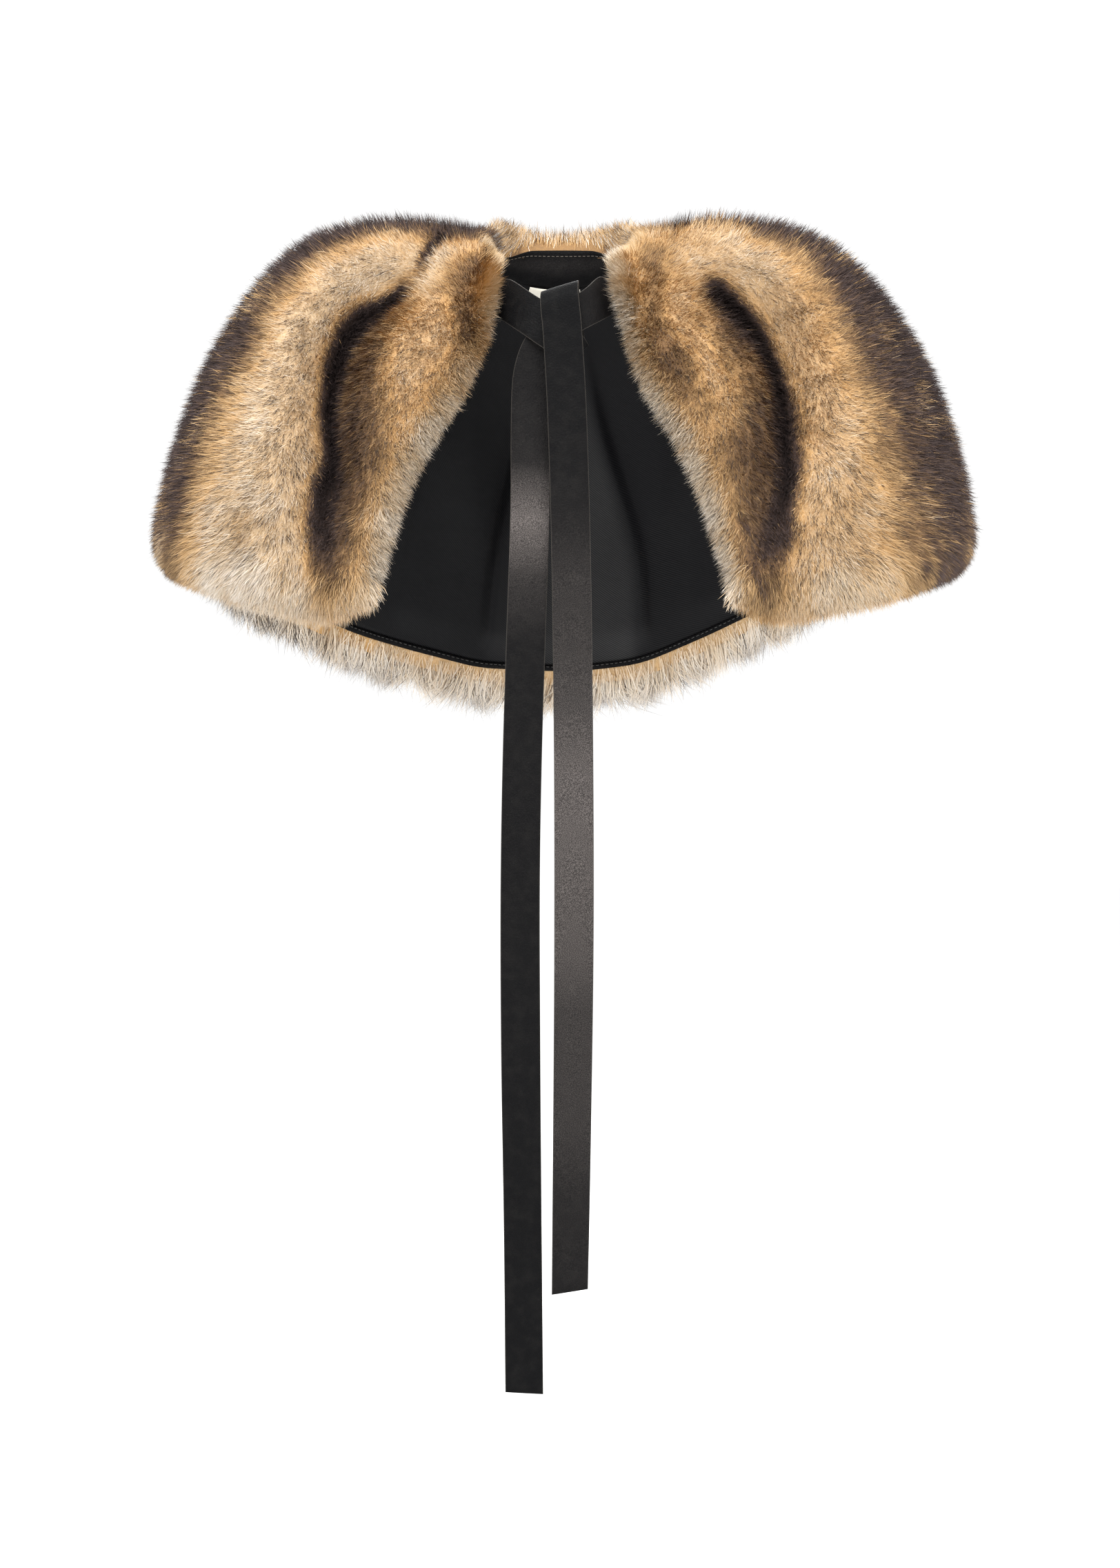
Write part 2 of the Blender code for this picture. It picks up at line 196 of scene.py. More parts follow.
def cape_frame(angle, share):
    """The folded hide's point, and the unfolded hide's unit vectors outwards, down and round the ring."""
    turning = bare_hide(angle + ANGLE_STEP, share) - bare_hide(angle - ANGLE_STEP, share)
    falling = bare_hide(angle, share + SHARE_STEP) - bare_hide(angle, share - SHARE_STEP)
    outward = unit(np.cross(falling, turning))
    point = bare_hide(angle, share) + fold_height(angle, share)[..., None] * outward
    return point, outward, unit(falling), unit(turning)


def over_hide(angle, share, height=0.0, down_by=0.0, round_by=0.0, up_by=0.0):
    """A point over the folded hide: raised outwards, moved down or round the ring, or lifted upright."""
    point, outward, down, around = cape_frame(angle, share)
    moves = (height, outward), (down_by, down), (round_by, around), (up_by, UPRIGHT)
    return point + sum(np.asarray(by)[..., None] * way for by, way in moves)


def front_angles(side, places, shares):
    """Angles across a front: place 0 is its front edge and place 1 its side seam."""
    first = front_angle(shares, side)
    return side * (first + (SEAM_ANGLE - SEAM_HALF_GAP - first) * places)


def back_angles(places, shares):
    """Angles across the back, from the left seam round to the right one."""
    first = SEAM_ANGLE + SEAM_HALF_GAP
    return first + (360 - 2 * first) * places + 0 * shares


def pile_depth(share):
    """Depth of the fur, shorter at the neck."""
    return PILE_AT_NECK + (PILE_ON_BODY - PILE_AT_NECK) * ease(share, 0, PILE_FULL_AT)


def behind(angle):
    """0 in front of the shoulders, 1 behind the neck."""
    return ease(np.abs(turn_of(angle)), *BEHIND_FROM)


def facing_rise(angle):
    """How far the neck's facing stands up past the hide: 0 at the shoulders, 1 behind the neck."""
    return ease(np.abs(turn_of(angle)), *NECK_RISE_FROM)


def put_mesh(name, points, faces, material):
    """A smooth mesh of points in millimetres and faces of the same number of corners, riding on the cape."""
    mesh = bpy.data.meshes.new(name)
    sides = faces.shape[1]
    mesh.vertices.add(len(points))
    mesh.vertices.foreach_set("co", (points * MM).astype(np.float32).ravel())
    mesh.loops.add(faces.size)
    mesh.loops.foreach_set("vertex_index", faces.astype(np.int32).ravel())
    mesh.polygons.add(len(faces))
    mesh.polygons.foreach_set("loop_start", np.arange(0, faces.size, sides, dtype=np.int32))
    mesh.polygons.foreach_set("use_smooth", np.ones(len(faces), bool))
    mesh.update(calc_edges=True)
    mesh.materials.append(material)
    made = bpy.data.objects.new(name, mesh)
    bpy.context.scene.collection.objects.link(made)
    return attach(made, "root")


def closed_faces(sections, points):
    """Quads of a solid through closed sections of the same number of points: between one section and the
    next, and zipped across both ends."""
    ids = np.arange(sections * points).reshape(sections, points)
    after = np.roll(ids, -1, axis=1)
    sides = np.stack([ids[:-1], after[:-1], after[1:], ids[1:]], axis=-1).reshape(-1, 4)
    i = np.arange(points // 2 - 1)
    zipped = np.stack([i, i + 1, points - 2 - i, points - 1 - i], axis=-1)
    return np.concatenate([sides, zipped[:, ::-1], zipped + ids[-1, 0]])


def closed_sheet(name, grid, material):
    """A closed sheet through a grid of sections by points by three, its faces turned to look outwards."""
    points = grid.reshape(-1, 3)
    faces = closed_faces(*grid.shape[:2])
    corners = points[faces]
    turned = np.cross(corners[:, 2] - corners[:, 0], corners[:, 3] - corners[:, 1])
    volume = np.sum(turned * corners.mean(axis=1))
    return put_mesh(name, points, faces if volume > 0 else faces[:, ::-1], material)


def mark(piece, name, values):
    """Stores one number for each vertex of a piece, for its material to read."""
    layer = piece.data.attributes.new(name, "FLOAT", "POINT")
    layer.data.foreach_set("value", np.ascontiguousarray(values, np.float32).ravel())


class Paint:
    """An output of a node in a material, or the bare material. Sums and products of it add Math nodes."""

    def __init__(self, tree, output=None):
        self.tree = tree
        self.output = output

    def node(self, kind, settings, inputs, output=0):
        """Adds a node: its settings, with a ramp's stops among them, then its sockets' values and links."""
        made = self.tree.nodes.new("ShaderNode" + kind)
        for name, value in settings.items():
            if name == "stops":
                elements = made.color_ramp.elements
                elements.remove(elements[-1])
                elements[0].position, elements[0].color = value[0][0], (*value[0][1], 1)
                for place, colour in value[1:]:
                    elements.new(place).color = (*colour, 1)
            else:
                setattr(made, name, value)
        for name, value in inputs.items():
            if isinstance(value, Paint):
                self.tree.links.new(value.output, made.inputs[name])
            else:
                made.inputs[name].default_value = value
        return Paint(self.tree, made.outputs[output])

    def math(self, operation, first, second):
        return self.node("Math", {"operation": operation}, {0: first, 1: second})

    def __add__(self, other):
        return self.math("ADD", self, other)

    def __mul__(self, other):
        return self.math("MULTIPLY", self, other)

    def __sub__(self, other):
        return self.math("SUBTRACT", self, other)

    def __rsub__(self, other):
        return self.math("SUBTRACT", other, self)

    __radd__ = __add__
    __rmul__ = __mul__

    def between(self, low, high):
        """This value carried from low and high to 0 and 1, smoothly and with no overshoot."""
        settings = {"interpolation_type": "SMOOTHSTEP"}
        return self.node("MapRange", settings, {"Value": self, "From Min": low, "From Max": high})

    def mix(self, first, second):
        """The first colour where this value is 0 and the second where it is 1."""
        first, second = (c if isinstance(c, Paint) else (*c, 1) for c in (first, second))
        return self.node("Mix", {"data_type": "RGBA"}, {0: self, 6: first, 7: second}, 2)

    def noise(self, scale, detail=2.0):
        """Noise through the piece, on its Object coordinates, with this many waves in a metre."""
        place = self.node("TexCoord", {}, {}, "Object")
        return self.node("TexNoise", {}, {"Vector": place, "Scale": scale, "Detail": detail}, "Fac")

    def marked(self, name):
        """The number that each vertex of the piece stores under this name."""
        return self.node("Attribute", {"attribute_name": name}, {}, "Fac")

    def map_axes(self, name):
        """Both coordinates of the piece's own map."""
        spot = self.node("UVMap", {"uv_map": name}, {}, "UV")
        return [self.node("SeparateXYZ", {}, {"Vector": spot}, axis) for axis in "XY"]

    def bump(self, strength, distance):
        """The normal of a surface that this value raises by up to the distance, in metres."""
        inputs = {"Strength": strength, "Distance": distance, "Height": self}
        return self.node("Bump", {}, inputs, "Normal")


def new_finish(name, constants, **varying):
    """A material with these constants on its shader; varying has a function of a Paint for each socket."""
    made = bpy.data.materials.new(name)
    made.use_nodes = True
    shader = made.node_tree.nodes["Principled BSDF"]
    for socket, value in constants.items():
        shader.inputs[socket].default_value = value
    for socket, paint in varying.items():
        painted = paint(Paint(made.node_tree))
        made.node_tree.links.new(painted.output, shader.inputs[socket.replace("_", " ")])
    return made


# The hair's colours by tone: 0 is black, the painted shade of the grooves and the black guard hairs, 0.14 a
# dark stripe, 0.32 is brown with dark tips, 0.5 is golden tan and 0.8 is cream. At 0.88 the hair is golden
# below a dark tip, at 0.96 cream below a grey one.
Dye = namedtuple("Dye", "tone root half tip")
DYES = [
    Dye(0.00, (0.006, 0.004, 0.004), (0.007, 0.005, 0.005), (0.011, 0.008, 0.008)),
    Dye(0.14, (0.070, 0.041, 0.026), (0.075, 0.052, 0.046), (0.150, 0.115, 0.111)),
    Dye(0.32, (0.30, 0.175, 0.080), (0.22, 0.130, 0.070), (0.040, 0.026, 0.022)),
    Dye(0.50, (0.54, 0.325, 0.138), (0.61, 0.380, 0.172), (0.67, 0.445, 0.228)),
    Dye(0.66, (0.57, 0.41, 0.240), (0.64, 0.49, 0.325), (0.75, 0.64, 0.50)),
    Dye(0.80, (0.75, 0.58, 0.39), (0.85, 0.74, 0.60), (0.94, 0.89, 0.83)),
    Dye(0.88, (0.30, 0.18, 0.085), (0.055, 0.034, 0.025), (0.022, 0.016, 0.015)),
    Dye(0.96, (0.84, 0.66, 0.45), (0.93, 0.85, 0.74), (0.34, 0.31, 0.295)),
]
TO_HALF = (0.0, 0.5)
TO_TIP = (0.45, 1.0)
WOOL_ALONG = 0.55


def hair_colour(paint, along, tone):
    """Mixes the root's, half-way and tip's ramps of the tone by how far along the hair a point is."""
    tones, *columns = zip(*DYES)
    ramps = [{"stops": list(zip(tones, colours))} for colours in columns]
    root, half, tip = (paint.node("ValToRGB", ramp, {"Fac": tone}) for ramp in ramps)
    return along.between(*TO_TIP).mix(along.between(*TO_HALF).mix(root, half), tip)


def wool_colour(paint):
    """The hair's lower colours, in fine grain."""
    grain = paint.noise(900.0, 3.0).between(0.3, 0.7)
    return hair_colour(paint, grain * WOOL_ALONG, paint.marked("tone"))


def wool_bump(paint):
    """Short matted fibres, about 2 mm apart."""
    return paint.noise(480.0, 4.0).bump(0.4, 0.002)


wool = new_finish(
    "underwool", {"Roughness": 0.95, "Specular IOR Level": 0.08}, Base_Color=wool_colour, Normal=wool_bump
)

# The dye's stripes run from neck to hem, and so do the black stripes of painted shade along the valleys of
# the deep front folds. Each is a list of stations: its share, its middle's angle from the front, its widths
# towards the front and the back, and how strong it is. The two sides were dyed a little differently.
Stripe = namedtuple("Stripe", "share angle front back strength")
# The grooves: painted shade, a black stripe along each deep front fold's valley.
GROOVE_PAINTED_SHADE_LEFT = [
    Stripe(0.19, 57, 5, 2, 0.0), Stripe(0.24, 56.5, 8, 3, 0.98), Stripe(0.30, 55.5, 8, 3.0, 1.0),
    Stripe(0.38, 53.5, 6, 2.9, 1.0), Stripe(0.46, 50.5, 4.6, 2.8, 1.0), Stripe(0.53, 46, 3.6, 2.7, 1.0),
    Stripe(0.60, 42.5, 2.9, 2.4, 1.0), Stripe(0.73, 37, 2.8, 2.3, 1.0), Stripe(0.82, 34, 3.2, 2.4, 0.8),
    Stripe(0.92, 31, 4.0, 2.8, 0.5), Stripe(1.00, 29, 3.2, 2.6, 0.1),
]
GROOVE_PAINTED_SHADE_RIGHT = [
    Stripe(0.09, 77, 3, 3, 0.0), Stripe(0.12, 73, 3, 3, 0.9), Stripe(0.17, 66, 3, 2.5, 0.95),
    Stripe(0.20, 62, 3, 2, 0.5), Stripe(0.22, 60.5, 3, 2, 0.3), Stripe(0.26, 60.8, 4.5, 2.4, 0.95),
    Stripe(0.35, 61.5, 4.4, 2.3, 1.0), Stripe(0.42, 60, 4, 2.3, 1.0), Stripe(0.50, 55, 3.6, 2.4, 1.0),
    Stripe(0.58, 48, 3.3, 2.4, 1.0), Stripe(0.68, 42.8, 3.1, 2.3, 1.0), Stripe(0.78, 40.8, 3.2, 2.4, 0.95),
    Stripe(0.86, 39, 3.8, 3, 0.75), Stripe(0.95, 36, 3.6, 3, 0.35), Stripe(1.00, 33, 3.0, 2.6, 0.05),
]
SIDE_LEFT = [
    Stripe(0.00, 92, 14, 24, 0.3), Stripe(0.07, 92, 18, 30, 0.6), Stripe(0.11, 92, 21, 30, 1.0),
    Stripe(0.15, 92, 17, 28, 0.75), Stripe(0.22, 92, 17, 24, 0.85), Stripe(0.30, 92, 19, 20, 1.0),
    Stripe(0.40, 92, 24, 18, 1.0), Stripe(0.50, 92, 29.5, 17, 1.0), Stripe(0.60, 92, 33, 16, 1.0),
    Stripe(0.80, 92, 36, 16, 0.93), Stripe(1.00, 92, 38, 14, 0.75),
]
SIDE_RIGHT = [
    Stripe(0.00, 92, 14, 28, 0.5), Stripe(0.05, 92, 20, 34, 1.0), Stripe(0.10, 92, 22, 34, 1.0),
    Stripe(0.20, 92, 19.5, 28, 1.0), Stripe(0.30, 92, 17.5, 20, 1.0), Stripe(0.40, 92, 18, 18, 1.0),
    Stripe(0.50, 92, 20.5, 17, 1.0), Stripe(0.60, 92, 24.5, 16, 1.0), Stripe(0.80, 92, 26.5, 16, 0.93),
    Stripe(1.00, 92, 29, 14, 0.75),
]
BEHIND = [
    Stripe(0.00, 140, 9, 9, 0.2), Stripe(0.10, 139, 8, 8, 0.8), Stripe(0.80, 140, 7, 7, 0.90),
    Stripe(1.00, 142, 6, 6, 0.25),
]
MIDDLE = [
    Stripe(0.05, 169, 5, 5, 0.0), Stripe(0.30, 166, 6, 5, 0.40), Stripe(0.60, 164, 5, 6, 0.30),
    Stripe(0.85, 163, 5, 5, 0.35), Stripe(1.00, 162, 5, 5, 0.05),
]
# Brown mottling on the front panels, ticked with dark tips: beside each groove, and in patches nearer to the
# edge. The third list of each side browns the slopes by the neck, partly brown dye and partly painted shade.
BROWN_LEFT = [
    [
        Stripe(0.22, 46, 6, 5, 0.0), Stripe(0.34, 46, 7, 6, 0.95), Stripe(0.42, 43, 7, 6, 0.7),
        Stripe(0.52, 40, 8, 6, 0.9), Stripe(0.62, 35, 9, 6, 0.95), Stripe(0.72, 32, 7, 5, 0.95),
        Stripe(0.85, 30, 6, 4, 0.9), Stripe(1.00, 27, 5, 5, 0.5),
    ],
    [
        Stripe(0.00, 54, 9, 8, 0.0), Stripe(0.09, 50, 8, 9, 0.6), Stripe(0.15, 38, 7, 6, 0.6),
        Stripe(0.24, 26, 5, 6, 0.7), Stripe(0.34, 24, 5, 7, 0.9), Stripe(0.46, 24, 4, 5, 0.55),
        Stripe(0.58, 25, 4, 5, 0.35), Stripe(0.74, 26, 3, 3, 0.0),
    ],
    # By the neck: partly brown dye, partly painted shade.
    [
        Stripe(0.00, 60, 14, 16, 0.1), Stripe(0.10, 52, 16, 14, 0.3), Stripe(0.20, 42, 15, 10, 0.0),
    ],
]
BROWN_RIGHT = [
    [
        Stripe(0.22, 52, 5, 5, 0.0), Stripe(0.34, 52, 6, 6, 0.75), Stripe(0.44, 49, 9, 7, 0.9),
        Stripe(0.52, 43, 9, 7, 0.95), Stripe(0.62, 37, 6, 6, 0.95), Stripe(0.75, 36, 5, 6, 0.95),
        Stripe(0.88, 35, 5, 5, 0.9), Stripe(1.00, 33, 4, 5, 0.45),
    ],
    [
        Stripe(0.00, 57, 9, 8, 0.3), Stripe(0.07, 50, 8, 8, 0.85), Stripe(0.14, 44, 8, 9, 0.7),
        Stripe(0.20, 34, 6, 9, 0.75), Stripe(0.27, 26, 5, 6, 0.9), Stripe(0.34, 26, 4, 5, 0.45),
        Stripe(0.50, 28, 3, 4, 0.2), Stripe(0.70, 28, 3, 3, 0.0),
    ],
    # By the neck: partly brown dye, partly painted shade.
    [
        Stripe(0.00, 56, 12, 12, 0.4), Stripe(0.12, 50, 12, 12, 0.35), Stripe(0.20, 42, 15, 10, 0.0),
    ],
]
# Paler tone, partly paler dye and partly painted highlight on the crests of the fronts' rolls: a wide band on
# the right, and a narrow rim beside the dark side stripe on the left.
PALE_AND_HIGHLIGHT_LEFT = [
    Stripe(0.12, 70, 6, 5, 0.0), Stripe(0.22, 72, 8, 6, 0.55), Stripe(0.40, 66, 6, 5, 0.45),
    Stripe(0.60, 56, 6, 5, 0.3), Stripe(0.80, 51, 6, 5, 0.15), Stripe(1.00, 48, 8, 6, 0.2),
]
PALE_AND_HIGHLIGHT_RIGHT = [
    Stripe(0.06, 64, 9, 10, 0.6), Stripe(0.16, 67, 12, 9, 1.0), Stripe(0.30, 69, 12, 9, 1.0),
    Stripe(0.50, 64, 10, 9, 0.75), Stripe(0.70, 55, 11, 12, 0.7), Stripe(1.00, 50, 14, 14, 0.8),
]
# In the order in which the stripes are laid over each other: the tone that each goes towards, how sharp its
# edges are, and its stations on the left and the right.
SIDES = 7, SIDE_LEFT, SIDE_RIGHT
STRIPES = [(0.67, 3, PALE_AND_HIGHLIGHT_LEFT, PALE_AND_HIGHLIGHT_RIGHT)]
STRIPES += [(0.25, 3, *pair) for pair in zip(BROWN_LEFT, BROWN_RIGHT)]
STRIPES += [
    (0.25, 3, MIDDLE, MIDDLE),
    (0.08, *SIDES),
    (0.10, 5, BEHIND, BEHIND),
    (0.0, 3, GROOVE_PAINTED_SHADE_LEFT, GROOVE_PAINTED_SHADE_RIGHT),
]
BODY_TONE = 0.575
PALEST_TONE = 0.80
TICKED_TONE = 0.88
STREAK_TONE = 0.34
WAVE_TONE = 0.62
GREY_TONE = 0.96
STRIPE_WANDER = 0.45
WAVE_STRENGTH = 0.85
WAVE_NOISE = (-0.6, 1.7)
WAVES_LOWER = (0.1, 0.5)
NOISE_WAVES = 7
NOISE_LEVEL = 2.2
NOISE_RADIUS = 200.0


def stripe_weight(sharp, on_left, on_right, angle, share):
    """How much of a stripe there is: across it a flat-topped bell, nearly a half at its widths, which differ
    to either side of its middle. Its stations are joined by straight lines along the share."""
    turn = turn_of(angle)
    away = np.abs(turn)

    def weight(stations):
        table = np.array(stations)
        middle, front, back, strength = (np.interp(share, table[:, 0], column) for column in table[:, 1:].T)
        off = np.abs((away - middle) / np.where(away < middle, front, back))
        return strength * np.exp(-0.8 * off**sharp)

    return np.where(turn >= 0, weight(on_left), weight(on_right))


def stripe_tone(angle, share):
    """The tone of the dye and of the painted shade in the grooves: the body's, turned towards each stripe's
    own tone by its weight.
    """
    tone = np.full(np.broadcast(angle, share).shape, BODY_TONE)
    for goal, *stripe in STRIPES:
        tone = tone + (goal - tone) * stripe_weight(*stripe, angle, share)
    return tone


def soft_noise(angle, share, size, seed):
    """Smooth noise of about unit size: a sum of sine waves across the hide, in directions, phases and lengths
    that the seed draws; size is the middle wavelength in millimetres."""
    draw = np.random.default_rng(seed)
    turns = draw.uniform(0, np.pi, NOISE_WAVES)
    phases = draw.uniform(0, 2 * np.pi, NOISE_WAVES)
    sizes = size * draw.uniform(0.7, 1.5, NOISE_WAVES)
    x, y = np.radians(angle) * NOISE_RADIUS, share * HIDE_LENGTH
    waves = ((x * np.cos(t) + y * np.sin(t)) * 2 * np.pi / s + p for t, p, s in zip(turns, phases, sizes))
    return sum(np.sin(wave) for wave in waves) / NOISE_LEVEL


def dyed_and_shaded_tone(angle, share):
    """The stripes' tone, with edges that wander."""
    return stripe_tone(angle + STRIPE_WANDER * soft_noise(angle, share, size=60, seed=5), share)


def side_waves(angle, share):
    """Where lighter wool shows through the dark side stripes: in waves, more of them lower down."""
    noise = soft_noise(angle, share, size=50, seed=23) + 0.5 * soft_noise(angle, share, size=13, seed=24)
    waves = ease(noise, *WAVE_NOISE) * (0.5 + 0.5 * ease(share, *WAVES_LOWER))
    return waves * stripe_weight(*SIDES, angle, share)


def wool_tone(angle, share):
    """The stripes' tone of dye and painted shade below the guard hairs, lighter in the side stripes' waves.
    """
    tone = dyed_and_shaded_tone(angle, share)
    return tone + (WAVE_TONE - tone) * WAVE_STRENGTH * side_waves(angle, share)


Coat = namedtuple("Coat", "panel angles_at side places cut area")
COATS = [
    Coat("front_left", lambda p, s: front_angles(1, p, s), 1, FRONT_PLACES, FRONT_CUT, FRONT_CUT_AREA),
    Coat("front_right", lambda p, s: front_angles(-1, p, s), -1, FRONT_PLACES, FRONT_CUT, FRONT_CUT_AREA),
    Coat("back", back_angles, 0, BACK_PLACES, BACK_CUT, BACK_CUT_AREA),
]
Wool = namedtuple("Wool", "angle share edge_gap hem_gap neck_gap level point outward down around")


def rounded(gap, over):
    """A quarter of an ellipse: 0 at an edge, 1 from this far inside it."""
    return np.sqrt(1 - (1 - np.clip(gap / over, 0, 1)) ** 2)


def hem_roll(angle):
    """How far the wool rolls down past the hem, at the fronts and behind, but not at the side seams."""
    away = np.abs(turn_of(angle))
    return HEM_ROLL * (1 - ease(away, *HEM_ROLL_ENDS)) + BACK_ROLL * ease(away, *BACK_ROLL_FROM)


def wool_on(coat):
    """The top of a panel's wool, over its places and shares: a part of the pile's depth, rounded off at free
    edges, rolled down past the hide at the hem and up past it behind the neck."""
    place = coat.places[:, None]
    share = PELT_ROWS + 0 * place
    angle = coat.angles_at(place, share)
    width = FRONT_WIDTHS[0] + (FRONT_WIDTHS[1] - FRONT_WIDTHS[0]) * share
    edge_gap = place * width if coat.side else NO_EDGE + 0 * share
    hem_gap, neck_gap = (1 - share) * HIDE_LENGTH, share * HIDE_LENGTH
    level = rounded(hem_gap, HEM_ROUND) * rounded(neck_gap, NECK_ROUND) * rounded(edge_gap, FRONT_ROUND)
    level = np.maximum(level, WOOL_LEAST)
    hide, outward, down, around = cape_frame(angle, share)
    roll = hem_roll(angle) * (ROLL_AT_EDGE + (1 - ROLL_AT_EDGE) * ease(edge_gap, 0, ROLL_FULL_AT))
    roll = roll * (1 - np.clip(hem_gap / HEM_ROUND, 0, 1))
    bulge = np.sin(np.pi * np.clip(neck_gap / NECK_ROLL_WIDTH, 0, 1) ** 0.6)
    bulge = NECK_ROLL * behind(angle) * bulge
    point = hide + (level * WOOL_SHARE * pile_depth(share))[..., None] * outward + roll[..., None] * down
    point[..., 2] += bulge
    return hide, Wool(angle, share, edge_gap, hem_gap, neck_gap, level, point, outward, down, around)


PELTS = {}
for coat in COATS:
    hide, top = wool_on(coat)
    pelt = closed_sheet(f"pelt_{coat.panel}", np.concatenate([hide, top.point[:, ::-1]], axis=1), wool)
    # Painted shade on the wool's inner slope just below the neck behind.
    shade = NECK_PAINTED_SHADE * behind(top.angle) * (1 - ease(top.neck_gap, *NECK_PAINTED_SHADE_ENDS))
    tone = wool_tone(top.angle, top.share) - shade
    mark(pelt, "tone", np.concatenate([tone, tone[:, ::-1]], axis=1))
    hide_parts(coat.panel)
    PELTS[coat.panel] = pelt, top


# The hair: long soft pile that stands out of the wool, leans a little down the cape and fans out over its
# edges, in small tufts that draw together at their tips. Each hair is a thin blade: a triangle, or three
# with a bend where it is long, at the hem and behind the neck.

HAIRS = {"front_left": 165000, "front_right": 165000, "back": 200000}
HAIRS_IN_TUFT = 6
TUFT_SPREAD = 2.6
TUFT_DRAWS_IN = 0.3
TUFT_SWAY = 0.12
TUFT_LEAN = 4.0
TUFT_TONE = 0.02
EACH_TONE = 0.06
STRAY = 0.15
GUARD_SHARE = 0.38
GUARD_LENGTH = 1.15
DOWN_LENGTH = 0.62
GUARD_WIDTH = 0.58
DOWN_WIDTH = 0.56
ROOT_SUNK = 1.5
HAIR_LEANS = (20.0, 32.0)
FAN_LEAN = 14.0
SWAY = 0.2
SIDE_LONGER = 0.25
NECK_SHORTER = 0.35
# The crest of each front's rolled band, as a share and an angle from the front; the hair parts to both sides
# of it.
CREST_LEFT = [(0.0, 66), (0.30, 65), (0.45, 60), (0.55, 54), (0.65, 51), (0.80, 48), (1.0, 43)]
CREST_RIGHT = [(0.0, 69), (0.30, 69), (0.45, 66), (0.55, 60), (0.65, 55), (0.80, 54), (1.0, 50)]
CREST_HALF_WIDTH = 9.0
HEM_LENGTH_ANGLES = (20, 33, 42, 60, 80, 96, 104, 115, 128, 145, 180)
HEM_LENGTHS = (15, 17, 17, 16, 17, 20, 32, 31, 31, 33, 36)
FRONT_LENGTH = 12.0
NECK_LENGTHS = (9.0, 16.0)
LONG_FROM = 15.0
INNER_HEM = 5.0
KNEE = 0.5
TICKED_LENGTH = 1.3
TICKED_LEAN = 0.8
TICKED_WIDER = 0.12
RIM_DENSER = 1.6
RIM_WIDTH = 16.0
LENGTH_RIM = 20.0
KNEE_WIDTH = 0.85
BLADE_ROLL = 0.7
SAG = 0.06
LOCK_SAG = 0.45
TONE_MARGIN = 0.03
TONE_EDGE = 0.012
# How far the hair is paled: at the hem behind, at the left and right fronts' hems, and at their front edges.
PALE_HEM_BEHIND = 0.9
PALE_HEMS = (0.12, 0.3)
PALE_EDGES = (0.65, 0.5)
PALE_HEM_HEIGHT = 32.0
HEM_TONE_RIM = 20.0
EDGE_TONE_RIM = 11.0
NECK_TONE_RIM = 30.0
HAIR_NECK_PAINTED_SHADE = 0.05
LIGHT_FROM = (0.06, 0.48)
# The chances of single hairs: a guard hair as light as a side stripe's waves; a dark tip, more often lower
# down, behind the neck and at the back hem's sides; a grey tip at the back's hem, in patches, and behind the
# neck; and, in a dark stripe, a light or a black guard hair.
WAVE_GUARDS = 0.3
TICKS = 0.045
TICKS_LOWER = 0.14
TICKS_NECK = 0.12
TICKS_PATCHES = 0.03
TICKS_ASIDE = 0.35
GREYS = 0.12
GREYS_PATCHES = 0.55
GREYS_NECK = 0.15
STREAKS = 0.01
STREAKS_LOWER = 0.02
STREAKS_LIGHT = 0.15
BLACKS = 0.55
hair_chance = np.random.default_rng(20260726)


def strewn(top, count):
    """The wool's values at points strewn over its top, denser at its rims: cells are drawn by their area, and
    values are blended across the cell. The wool's own normal comes last."""
    p = top.point
    turning, falling = np.gradient(p, axis=0), np.gradient(p, axis=1)
    normal = unit(np.cross(falling, turning))
    normal = normal * np.sign(np.sum(normal * top.outward, axis=-1, keepdims=True).mean())
    area = np.linalg.norm(np.cross(p[1:, 1:] - p[:-1, :-1], p[1:, :-1] - p[:-1, 1:]), axis=-1).ravel()
    gap = np.minimum(np.minimum(top.hem_gap, 1.6 * top.edge_gap), 1.4 * top.neck_gap)[1:, 1:]
    area = area * (1 + RIM_DENSER * (1 - ease(gap, 0, RIM_WIDTH))).ravel()
    area = area * (top.neck_gap > NECK_BARE * facing_rise(top.angle))[1:, 1:].ravel()
    cell = np.searchsorted(np.cumsum(area) / area.sum(), hair_chance.random(count))
    cell = np.minimum(cell, area.size - 1)
    i, j = np.divmod(cell, p.shape[1] - 1)
    u, v = hair_chance.random((2, count))
    weights = (1 - u) * (1 - v), u * (1 - v), (1 - u) * v, u * v

    def blend(values):
        corners = values[i, j], values[i + 1, j], values[i, j + 1], values[i + 1, j + 1]
        return sum((w[:, None] if values.ndim == 3 else w) * c for w, c in zip(weights, corners))

    return Wool(*map(blend, top)), unit(blend(normal))


def noise_at(at, size, seed):
    """Soft noise at the hair's roots."""
    return soft_noise(at.angle, at.share, size, seed)


